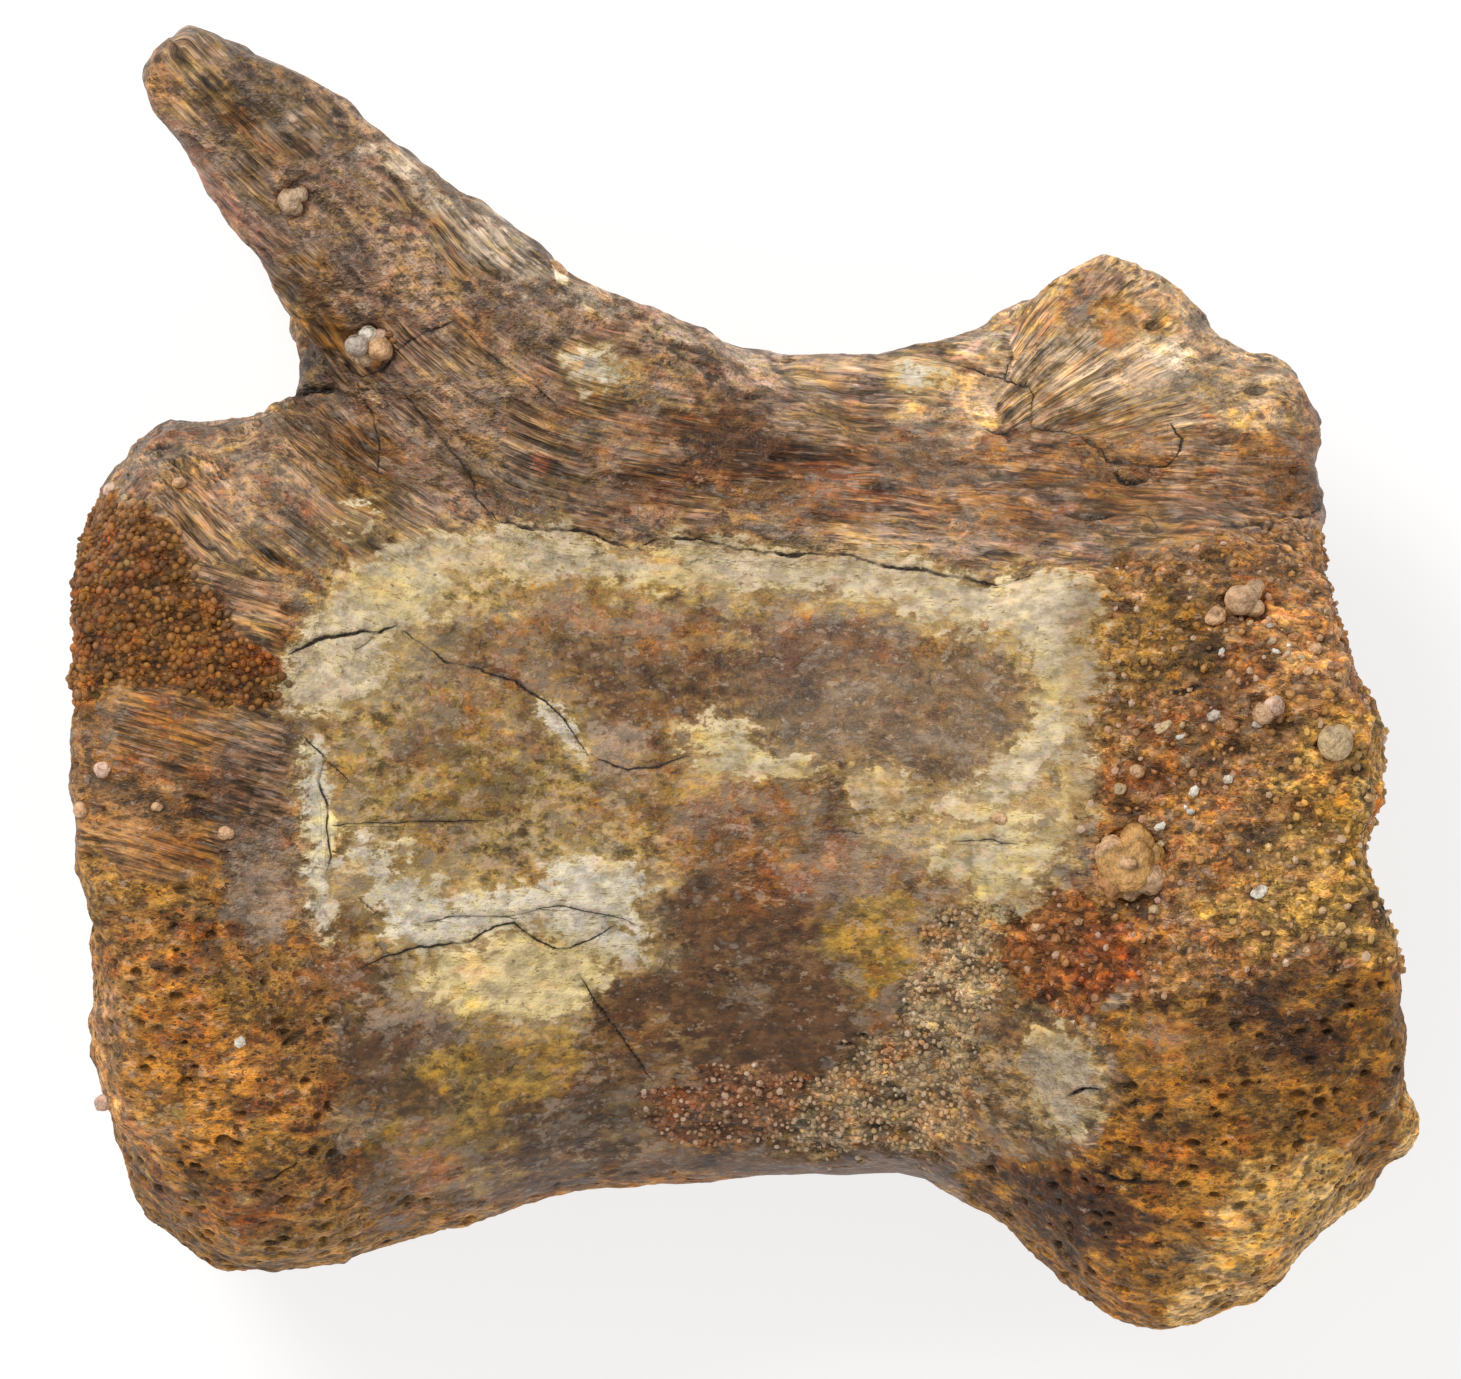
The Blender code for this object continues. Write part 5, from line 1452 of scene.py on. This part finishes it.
@dataclass
class GrainScatter:
    """Small grains strewn by Geometry Nodes over the part of the skin that carries one of its textures."""

    name: str
    texture: Texture
    shape: GrainShape
    smallest: float
    largest: float
    spacing: float
    per_square_mm: float
    seed: int
    lowest: float = 8.0
    start: float = 0.35

    def build(self, skin: bpy.types.Object, material: bpy.types.Material) -> bpy.types.Object:
        """Strews the grains.

        Args:
            skin: The bone's skin, in metres, with its painted values.
            material: The grains' material.

        Returns:
            All grains as one object.
        """
        piece = bpy.data.objects.new(self.name, skin.data.copy())
        bpy.context.scene.collection.objects.link(piece)
        tree = self._tree()
        strewn = piece.modifiers.new("strew", "NODES")
        strewn.node_group = tree
        values = {"Mask": self.texture.value, "Start": self.start, "Lowest": self.lowest * MM,
                  "Spacing": self.spacing * MM, "Density": self.per_square_mm / MM**2,
                  "Smallest": self.smallest * MM, "Largest": self.largest * MM, "Seed": self.seed,
                  "Material": material}
        for item in tree.interface.items_tree:
            if item.name in values and item.in_out == "INPUT":
                strewn[item.identifier] = values[item.name]
        return settle(piece)

    def _tree(self) -> bpy.types.NodeTree:
        """The node tree: points where the mask is high, a turned and scaled grain on each."""
        tree = bpy.data.node_groups.new(self.name, "GeometryNodeTree")
        sockets = {"Geometry": "NodeSocketGeometry", "Mask": "NodeSocketString", "Start": FLOAT,
                   "Lowest": FLOAT, "Spacing": FLOAT, "Density": FLOAT, "Smallest": FLOAT, "Largest": FLOAT,
                   "Seed": "NodeSocketInt", "Material": "NodeSocketMaterial"}
        for label, kind in sockets.items():
            tree.interface.new_socket(label, in_out="INPUT", socket_type=kind)
        tree.interface.new_socket("Geometry", in_out="OUTPUT", socket_type="NodeSocketGeometry")
        graph = Graph(tree)
        given = graph.add("NodeGroupInput").outputs
        mask = graph.add("GeometryNodeInputNamedAttribute", {"Name": given["Mask"]}, data_type="FLOAT")
        enough = graph.add("ShaderNodeMath", {0: mask.outputs["Attribute"], 1: given["Start"]},
                           operation="GREATER_THAN").outputs[0]
        height = graph.add("ShaderNodeSeparateXYZ", {0: graph.add("GeometryNodeInputPosition").outputs[0]})
        above = graph.add("ShaderNodeMath", {0: height.outputs["Z"], 1: given["Lowest"]},
                          operation="GREATER_THAN").outputs[0]
        factor = graph.add("ShaderNodeMath", {0: enough, 1: above}, operation="MULTIPLY").outputs[0]
        points = graph.add("GeometryNodeDistributePointsOnFaces",
                           {"Mesh": given["Geometry"], "Distance Min": given["Spacing"],
                            "Density Max": given["Density"], "Density Factor": factor, "Seed": given["Seed"]},
                           distribute_method="POISSON")
        turn = graph.add("FunctionNodeRandomValue", {"Max": (math.tau,) * 3, "Seed": given["Seed"]},
                         data_type="FLOAT_VECTOR")
        size = graph.add("FunctionNodeRandomValue", {2: given["Smallest"], 3: given["Largest"],
                                                     "Seed": given["Seed"]}, data_type="FLOAT")
        flatter = graph.add("FunctionNodeRandomValue", {0: (0.75, 0.75, 0.6), 1: (1.15, 1.15, 1.0),
                                                        "Seed": given["Seed"]}, data_type="FLOAT_VECTOR")
        scale = graph.add("ShaderNodeVectorMath", {0: flatter.outputs[0], 3: size.outputs[1]},
                          operation="SCALE").outputs[0]
        if self.shape is GrainShape.ROUND:
            grain = graph.add("GeometryNodeMeshUVSphere", {"Segments": 8, "Rings": 6, "Radius": 0.5})
        else:
            grain = graph.add("GeometryNodeMeshIcoSphere", {"Radius": 0.5, "Subdivisions": 1})
        placed = graph.add("GeometryNodeInstanceOnPoints",
                           {"Points": points.outputs["Points"], "Instance": grain.outputs["Mesh"],
                            "Rotation": turn.outputs[0], "Scale": scale})
        tint = graph.add("FunctionNodeRandomValue", {"Seed": given["Seed"]}, data_type="FLOAT")
        marked = graph.add("GeometryNodeStoreNamedAttribute",
                           {"Geometry": placed.outputs[0], "Name": "grain_tint", "Value": tint.outputs[1]},
                           data_type="FLOAT", domain="INSTANCE")
        real = graph.add("GeometryNodeRealizeInstances", {"Geometry": marked.outputs[0]})
        smooth = graph.add("GeometryNodeSetShadeSmooth",
                           {"Geometry": real.outputs[0], "Shade Smooth": self.shape is GrainShape.ROUND})
        finished = graph.add("GeometryNodeSetMaterial",
                             {"Geometry": smooth.outputs[0], "Material": given["Material"]})
        graph.feed(graph.add("NodeGroupOutput").inputs[0], finished.outputs[0])
        return tree


CLEAR = (0.56, 0.40, 0.26)
DULL_QUARTZ = (0.62, 0.40, 0.23)
PEACH_QUARTZ = (0.68, 0.42, 0.23)
PINK_QUARTZ = (0.72, 0.48, 0.36)
GREY_QUARTZ = (0.50, 0.43, 0.37)
WHITE_QUARTZ = (0.76, 0.70, 0.60)
YELLOW_QUARTZ = (0.58, 0.43, 0.24)
AMBER = (0.46, 0.22, 0.08)
HONEY = (0.62, 0.34, 0.11)


@dataclass(frozen=True)
class Stone:
    """A pebble or shard: its middle in photograph pixels, its three sizes in millimetres, and its look."""

    at: Place
    sizes: tuple[float, float, float]
    colour: Colour
    turn: float = 0.0
    angular: bool = False


# Loose stones and shards stuck to the bone, besides the six large pebbles of the solid model
STONES: tuple[Stone, ...] = (
    Stone((287, 207), (0.5, 0.45, 0.4), WHITE_QUARTZ),
    Stone((290, 214), (0.45, 0.4, 0.4), WHITE_QUARTZ),
    Stone((355, 345), (0.8, 0.6, 0.6), WHITE_QUARTZ, 0.5, True),
    Stone((362, 360), (1.2, 1.0, 0.9), CLEAR, 0.3),
    Stone((394, 337), (0.7, 0.6, 0.6), AMBER),
    Stone((397, 343), (0.6, 0.5, 0.5), AMBER),
    Stone((560, 273), (1.9, 0.9, 0.6), PEACH_QUARTZ, -0.9),
    Stone((118, 492), (1.5, 1.2, 0.9), PINK_QUARTZ, 0.3),
    Stone((188, 488), (1.3, 1.1, 0.9), PEACH_QUARTZ, 0.3),
    Stone((118, 768), (1.6, 1.4, 1.0), PINK_QUARTZ),
    Stone((97, 807), (1.5, 1.3, 1.0), PEACH_QUARTZ),
    Stone((170, 805), (1.0, 0.8, 0.7), PEACH_QUARTZ),
    Stone((135, 501), (0.9, 0.7, 0.6), YELLOW_QUARTZ),
    Stone((236, 830), (1.3, 1.1, 0.8), PEACH_QUARTZ),
    Stone((250, 1034), (1.2, 0.9, 0.7), WHITE_QUARTZ, 0.9, True),
    Stone((112, 1100), (1.8, 1.4, 1.2), PINK_QUARTZ),
    Stone((92, 975), (2.0, 1.5, 1.2), PEACH_QUARTZ),
    Stone((980, 627), (0.9, 0.8, 0.5), PEACH_QUARTZ),
    Stone((995, 816), (1.3, 1.1, 0.5), PEACH_QUARTZ),
    Stone((1205, 619), (1.9, 1.5, 1.2), PEACH_QUARTZ, 0.4),
    Stone((1245, 589), (1.6, 1.4, 1.1), PEACH_QUARTZ),
    Stone((1261, 643), (1.0, 0.6, 0.5), YELLOW_QUARTZ, 0.6, True),
    Stone((1264, 653), (0.9, 0.5, 0.5), WHITE_QUARTZ, -0.3, True),
    Stone((1276, 656), (0.9, 0.7, 0.5), WHITE_QUARTZ, 1.1, True),
    Stone((1289, 659), (0.8, 0.6, 0.5), YELLOW_QUARTZ, 0.1, True),
    Stone((1240, 625), (0.9, 0.6, 0.5), YELLOW_QUARTZ, 0.8, True),
    Stone((1259, 627), (0.8, 0.5, 0.4), WHITE_QUARTZ, 0.2, True),
    Stone((1212, 653), (0.9, 0.6, 0.5), WHITE_QUARTZ, 1.3, True),
    Stone((1155, 727), (1.9, 0.9, 0.7), YELLOW_QUARTZ, 0.7, True),
    Stone((1171, 737), (0.9, 0.6, 0.5), WHITE_QUARTZ, 0.2, True),
    Stone((1173, 724), (0.8, 0.6, 0.5), YELLOW_QUARTZ, 1.2, True),
    Stone((1259, 711), (2.4, 1.1, 0.9), PINK_QUARTZ, 0.9),
    Stone((1245, 724), (1.2, 0.9, 0.8), GREY_QUARTZ, 0.2, True),
    Stone((1221, 725), (1.2, 1.0, 0.8), AMBER, 0.2),
    Stone((1205, 716), (1.4, 1.1, 0.9), GREY_QUARTZ, 0.4, True),
    Stone((1185, 789), (1.3, 0.9, 0.8), WHITE_QUARTZ, 0.9, True),
    Stone((1217, 777), (1.1, 0.8, 0.7), WHITE_QUARTZ, 0.4, True),
    Stone((1181, 809), (0.9, 0.6, 0.5), WHITE_QUARTZ, 0.1, True),
    Stone((1151, 823), (1.2, 0.7, 0.6), WHITE_QUARTZ, 0.5, True),
    Stone((1153, 841), (1.0, 0.7, 0.6), YELLOW_QUARTZ, 0.5, True),
    Stone((1123, 853), (1.2, 1.0, 0.8), WHITE_QUARTZ, 0.8, True),
    Stone((1248, 888), (1.5, 1.2, 0.5), WHITE_QUARTZ, 0.6),
    Stone((1284, 640), (1.4, 1.0, 0.8), AMBER, 0.4, True),
    Stone((1304, 652), (1.5, 1.2, 0.9), PEACH_QUARTZ, 1.0, True),
    Stone((1320, 668), (1.3, 1.0, 0.8), AMBER, 0.2, True),
    Stone((1296, 672), (1.1, 0.9, 0.8), PEACH_QUARTZ, 0.7, True),
    Stone((1031, 922), (0.9, 0.8, 0.6), PEACH_QUARTZ),
    Stone((1051, 934), (1.0, 0.9, 0.6), AMBER, 0.0, True),
    Stone((1072, 918), (0.9, 0.7, 0.6), PEACH_QUARTZ, 0.4, True),
    Stone((1060, 957), (1.0, 0.8, 0.7), AMBER, 0.8, True),
    Stone((1130, 770), (1.4, 1.1, 0.9), PEACH_QUARTZ),
    Stone((1112, 788), (1.2, 1.0, 0.8), YELLOW_QUARTZ, 0.2),
    Stone((1146, 905), (1.1, 0.9, 0.7), YELLOW_QUARTZ, 0.2, True),
    Stone((1372, 738), (1.2, 1.0, 0.8), PEACH_QUARTZ),
)


@dataclass
class StoneSet:
    """The stones and shards, each sunk a little way into the skin."""

    sink: float = 0.28
    unevenness: float = 0.22

    def build(self, skin: bpy.types.Object) -> bpy.types.Object:
        """Makes all loose stones.

        Args:
            skin: The bone's skin, in metres.

        Returns:
            The stones as one object.
        """
        tree = BVHTree.FromObject(skin, bpy.context.evaluated_depsgraph_get())
        shape = bmesh.new()
        colours = []
        for index, stone in enumerate(STONES):
            x, y = on_bone((stone.at,))[0]
            above = Vector((x, y, 100.0)) * MM
            hit, normal, _, _ = tree.ray_cast(above, Vector((0.0, 0.0, -1.0)))
            if hit is None:
                continue
            turn = Vector((0, 0, 1)).rotation_difference(normal).to_matrix().to_4x4()
            middle = hit / MM + normal * stone.sizes[2] * (0.5 - self.sink)
            place = Matrix.Translation(middle) @ turn @ Matrix.Rotation(stone.turn, 4, "Z")
            before = len(shape.verts)
            add_stone(shape, stone.sizes, place, 1 if stone.angular else 3, self.unevenness, index)
            colours += [stone.colour] * (len(shape.verts) - before)
        return stone_object("quartz_stones", shape, colours, False)


@dataclass
class Pebble:
    """A large pebble: the solid model's node, made again with finer detail out of a few rounded parts."""

    node: str
    colour: Colour
    parts: tuple[tuple[float, float, float, float], ...] = ((0.0, 0.0, 1.0, 1.0),)
    unevenness: float = 0.16
    colours: tuple[Colour, ...] = ()

    def build(self) -> bpy.types.Object:
        """Makes the pebble in its node's box.

        Returns:
            The pebble's object.
        """
        low, high = (np.array(corner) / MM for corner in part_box(self.node))
        middle = (low + high) / 2
        sizes = high - low
        shape = bmesh.new()
        tones = []
        for index, (x, y, share, tall) in enumerate(self.parts):
            place = Matrix.Translation(middle + sizes * (x, y, (tall - 1) / 2))
            before = len(shape.verts)
            add_stone(shape, tuple(sizes * (share, share, tall)), place, 4, self.unevenness, index)
            tones += [(self.colours or (self.colour,))[index % max(1, len(self.colours))]] * (
                len(shape.verts) - before)
        return stone_object(f"{self.node}_stone", shape, tones, True)


def add_stone(shape: bmesh.types.BMesh, sizes: tuple[float, float, float], place: Matrix, level: int,
              unevenness: float, seed: int) -> None:
    """Adds one rounded or faceted stone to a mesh.

    Args:
        shape: The mesh, in millimetres.
        sizes: Its three sizes.
        place: Where it lies and how it is turned.
        level: How finely a ball is split up: 1 is faceted, 3 or more round.
        unevenness: How far its surface moves in and out, as a share of its size.
        seed: Picks its form.
    """
    made = bmesh.ops.create_icosphere(shape, subdivisions=level, radius=0.5)["verts"]
    places = np.array([vert.co[:] for vert in made])
    swell = 1 + unevenness * noise(places * 2.2 + 7.3 * seed, 1.0, 300 + seed, 3)
    places = places * swell[:, None] * np.array(sizes)
    for vert, co in zip(made, places):
        vert.co = place @ Vector(co)


def stone_object(name: str, shape: bmesh.types.BMesh, colours: list[Colour], smooth: bool) -> bpy.types.Object:
    """Turns a mesh of stones in millimetres into an object in metres.

    Args:
        name: The object's name.
        shape: The mesh.
        colours: A colour for each point.
        smooth: Whether all of it is shaded smooth. Otherwise only its finely split stones are.

    Returns:
        The object.
    """
    bmesh.ops.recalc_face_normals(shape, faces=shape.faces)
    for face in shape.faces:
        face.smooth = smooth or face.calc_area() < 0.06
    bmesh.ops.scale(shape, vec=(MM,) * 3, verts=shape.verts)
    mesh = bpy.data.meshes.new(name)
    shape.to_mesh(mesh)
    shape.free()
    write_attribute(mesh, "tone", np.array(colours))
    piece = bpy.data.objects.new(name, mesh)
    bpy.context.scene.collection.objects.link(piece)
    return piece


@dataclass
class QuartzMaterial:
    """Worn quartz, a little translucent and glossy, tinted point by point."""

    name: str
    roughness: float = 0.32
    translucency: float = 0.25
    tint_attribute: str = "tone"

    def build(self) -> bpy.types.Material:
        """Makes the material."""
        material = bpy.data.materials.new(self.name)
        material.use_nodes = True
        graph = Graph(material.node_tree)
        shader = material.node_tree.nodes["Principled BSDF"]
        texture = graph.add("ShaderNodeTexCoord")
        place = graph.add("ShaderNodeVectorMath", {0: texture.outputs["Object"], 3: 1 / MM},
                          operation="SCALE").outputs[0]
        cloud = graph.noise(graph.stretch(place, (1.1, 1.1, 1.1)), 3.0, 0.6)
        tone = graph.scale_colour(graph.colour(self.tint_attribute), graph.ramp(cloud, 0.3, 0.7, 0.72, 1.28))
        speck = graph.noise(graph.stretch(place, (0.35, 0.35, 0.35)), 2.0, 0.5)
        stained = graph.mix(graph.ramp(speck, 0.52, 0.66, 0.0, 0.40), tone, (0.36, 0.17, 0.06, 1.0))
        hollow = graph.ramp(cloud, 0.46, 0.34, 0.0, 0.35)
        graph.feed(shader.inputs["Base Color"], graph.mix(hollow, stained, (0.15, 0.07, 0.025, 1.0)))
        graph.feed(shader.inputs["Roughness"], graph.ramp(cloud, 0.3, 0.7, self.roughness - 0.08,
                                                          self.roughness + 0.14))
        bump = graph.add("ShaderNodeBump", {"Height": speck, "Strength": 0.9, "Distance": 0.35 * MM})
        graph.feed(shader.inputs["Normal"], bump.outputs[0])
        shader.inputs["Subsurface Weight"].default_value = self.translucency
        shader.inputs["Subsurface Radius"].default_value = (1.0, 0.6, 0.35)
        shader.inputs["Subsurface Scale"].default_value = MM
        return material


@dataclass
class GrainMaterial:
    """Sand grains: the bone's painted tone under them, each with a tint of its own."""

    name: str
    pale: float = 0.5
    pale_tones: tuple[Colour, Colour] = ((0.60, 0.46, 0.32), (0.56, 0.33, 0.18))
    darkest: float = 0.8
    brightest: float = 1.35
    roughness: float = 0.5

    def build(self) -> bpy.types.Material:
        """Makes the material."""
        material = bpy.data.materials.new(self.name)
        material.use_nodes = True
        graph = Graph(material.node_tree)
        shader = material.node_tree.nodes["Principled BSDF"]
        tint = graph.value("grain_tint")
        own = graph.add("ShaderNodeTexWhiteNoise", {"W": tint}, noise_dimensions="1D")
        parts = graph.add("ShaderNodeSeparateColor", {0: own.outputs["Color"]})
        light = graph.ramp(parts.outputs[0], 0.0, 1.0, self.darkest, self.brightest)
        tone = graph.scale_colour(graph.colour("tone"), light)
        share = graph.ramp(parts.outputs[1], 1.0 - self.pale, 1.0, 0.0, 0.8)
        pale = graph.mix(parts.outputs[2], *((*tint, 1.0) for tint in self.pale_tones))
        graph.feed(shader.inputs["Base Color"], graph.mix(share, tone, pale))
        graph.feed(shader.inputs["Roughness"], graph.ramp(parts.outputs[1], 0.0, 1.0, self.roughness + 0.15,
                                                          self.roughness - 0.15))
        return material


@dataclass
class Studio:
    """The floor, the soft lights and the camera, which looks straight down on the bone."""

    frame_middle: tuple[float, float] = (-0.001625, -0.000458)
    frame_width: float = 0.12175
    lens: float = 400.0
    sensor: float = 36.0
    floor_radius: float = 3.0
    sky_strength: float = 0.55
    key_place: tuple[float, float, float] = (-0.45, 0.55, 0.95)
    key_size: float = 0.45
    key_power: float = 7.5

    def build(self) -> None:
        """Makes everything round the bone."""
        self._camera()
        self._floor()
        self._lights()
        bpy.context.scene.view_settings.view_transform = "Standard"

    def _camera(self) -> None:
        """Sets the camera over the middle of the frame, high enough to see its full width."""
        camera = bpy.data.cameras.new("camera")
        camera.lens = self.lens
        camera.sensor_width = self.sensor
        camera.clip_start = 0.01
        camera.clip_end = 50.0
        holder = bpy.data.objects.new("camera", camera)
        height = MIDLINE * MM + self.frame_width * self.lens / self.sensor
        holder.location = (*self.frame_middle, height)
        bpy.context.scene.collection.objects.link(holder)
        bpy.context.scene.camera = holder

    def _floor(self) -> None:
        """A wide white floor that shows only a faint shadow."""
        shape = bmesh.new()
        bmesh.ops.create_circle(shape, cap_ends=True, segments=96, radius=self.floor_radius)
        mesh = bpy.data.meshes.new("floor")
        shape.to_mesh(mesh)
        shape.free()
        floor = bpy.data.objects.new("floor", mesh)
        bpy.context.scene.collection.objects.link(floor)
        material = bpy.data.materials.new("white floor")
        material.use_nodes = True
        shader = material.node_tree.nodes["Principled BSDF"]
        shader.inputs["Base Color"].default_value = (0.34, 0.34, 0.34, 1.0)
        shader.inputs["Roughness"].default_value = 0.9
        shader.inputs["Specular IOR Level"].default_value = 0.0
        shader.inputs["Emission Color"].default_value = (1.0, 1.0, 1.0, 1.0)
        shader.inputs["Emission Strength"].default_value = 0.74
        mesh.materials.append(material)

    def _lights(self) -> None:
        """One large soft light from the upper left, and an even sky."""
        world = bpy.data.worlds.new("studio")
        bpy.context.scene.world = world
        world.use_nodes = True
        sky = world.node_tree.nodes["Background"]
        sky.inputs["Color"].default_value = (1.0, 0.99, 0.97, 1.0)
        sky.inputs["Strength"].default_value = self.sky_strength
        lamp = bpy.data.lights.new("key", "AREA")
        lamp.shape = "DISK"
        lamp.size = self.key_size
        lamp.energy = self.key_power
        lamp.color = (1.0, 0.97, 0.93)
        holder = bpy.data.objects.new("key", lamp)
        holder.location = self.key_place
        aim = Vector((0.0, 0.0, MIDLINE * MM)) - Vector(self.key_place)
        holder.rotation_euler = aim.to_track_quat("-Z", "Y").to_euler()
        bpy.context.scene.collection.objects.link(holder)


PEBBLES: tuple[Pebble, ...] = (
    Pebble("pebble_arch_root", PEACH_QUARTZ,
           parts=((-0.22, 0.02, 0.54, 1.0), (0.20, -0.08, 0.56, 0.9), (-0.02, 0.26, 0.42, 0.7),
                  (-0.08, -0.28, 0.40, 0.7), (0.24, 0.22, 0.36, 0.6), (0.10, -0.32, 0.34, 0.6)),
           colours=(GREY_QUARTZ, PEACH_QUARTZ, WHITE_QUARTZ, CLEAR, PINK_QUARTZ, AMBER)),
    Pebble("pebble_front_process", CLEAR,
           parts=((-0.08, 0.0, 0.78, 1.0), (0.22, 0.16, 0.50, 0.8), (0.10, -0.22, 0.46, 0.7))),
    Pebble("pebble_rear_upper", DULL_QUARTZ,
           parts=((-0.06, 0.02, 0.84, 1.0), (0.22, -0.20, 0.50, 0.8), (0.20, 0.22, 0.46, 0.7))),
    Pebble("pebble_rear_middle", PINK_QUARTZ,
           parts=((-0.10, -0.08, 0.66, 1.0), (0.16, 0.12, 0.62, 0.9), (0.26, 0.28, 0.36, 0.6)),
           colours=(DULL_QUARTZ, PINK_QUARTZ, WHITE_QUARTZ)),
    Pebble("pebble_rear_rim", YELLOW_QUARTZ, unevenness=0.08),
    Pebble("nodule_rear_lower", HONEY, unevenness=0.30,
           parts=((0.0, 0.0, 0.76, 0.9), (0.24, -0.20, 0.46, 0.72), (-0.26, 0.16, 0.44, 0.66),
                  (0.10, 0.28, 0.42, 0.7), (-0.20, -0.26, 0.44, 0.7), (0.30, 0.12, 0.36, 0.55),
                  (0.02, -0.33, 0.32, 0.5), (-0.04, 0.02, 0.30, 1.0)),
           colours=(HONEY, DULL_QUARTZ, PEACH_QUARTZ, HONEY, AMBER)),
)

SCATTERS: tuple[tuple[GrainScatter, GrainMaterial], ...] = (
    (GrainScatter("crust_grains", Texture.GRITTY, GrainShape.ROUND, 0.45, 0.88, 0.48, 3.6, 81),
     GrainMaterial("crust grain", 0.12, ((0.42, 0.22, 0.08), (0.36, 0.16, 0.06)), 0.55, 1.7, 0.6)),
    (GrainScatter("sand_grains", Texture.SANDY, GrainShape.ANGULAR, 0.30, 0.75, 0.45, 3.4, 82),
     GrainMaterial("sand grain", 0.6, ((0.72, 0.58, 0.44), (0.62, 0.38, 0.22)), 0.8, 1.35, 0.4)),
    (GrainScatter("rear_crystals", Texture.CRYSTALLINE, GrainShape.ANGULAR, 0.30, 0.95, 0.7, 1.0, 83),
     GrainMaterial("crystal grain", 0.5, ((0.70, 0.54, 0.42), (0.62, 0.38, 0.25)), 0.6, 1.15, 0.35)),
)


def main() -> None:
    """Builds the bone's looks and the studio."""
    logging.basicConfig(level=logging.INFO, format="%(message)s")
    fleck_group()
    grain_group()
    Studio().build()
    skin = BoneSkin().build()
    skin.data.materials.append(BoneMaterial().build())
    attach(skin, BODY)
    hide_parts("vertebra")
    log.info("%s: %d points", skin.name, len(skin.data.vertices))

    for scatter, finish in SCATTERS:
        grains = scatter.build(skin, finish.build())
        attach(grains, BODY)
        log.info("%s: %d points", grains.name, len(grains.data.vertices))

    quartz = QuartzMaterial("worn quartz").build()
    stones = StoneSet().build(skin)
    stones.data.materials.append(quartz)
    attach(stones, BODY)
    log.info("%s: %d points", stones.name, len(stones.data.vertices))
    for pebble in PEBBLES:
        piece = pebble.build()
        piece.data.materials.append(quartz)
        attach(piece, BODY)
        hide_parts(pebble.node)
        log.info("%s: %d points", piece.name, len(piece.data.vertices))


if __name__ == "__main__":
    main()
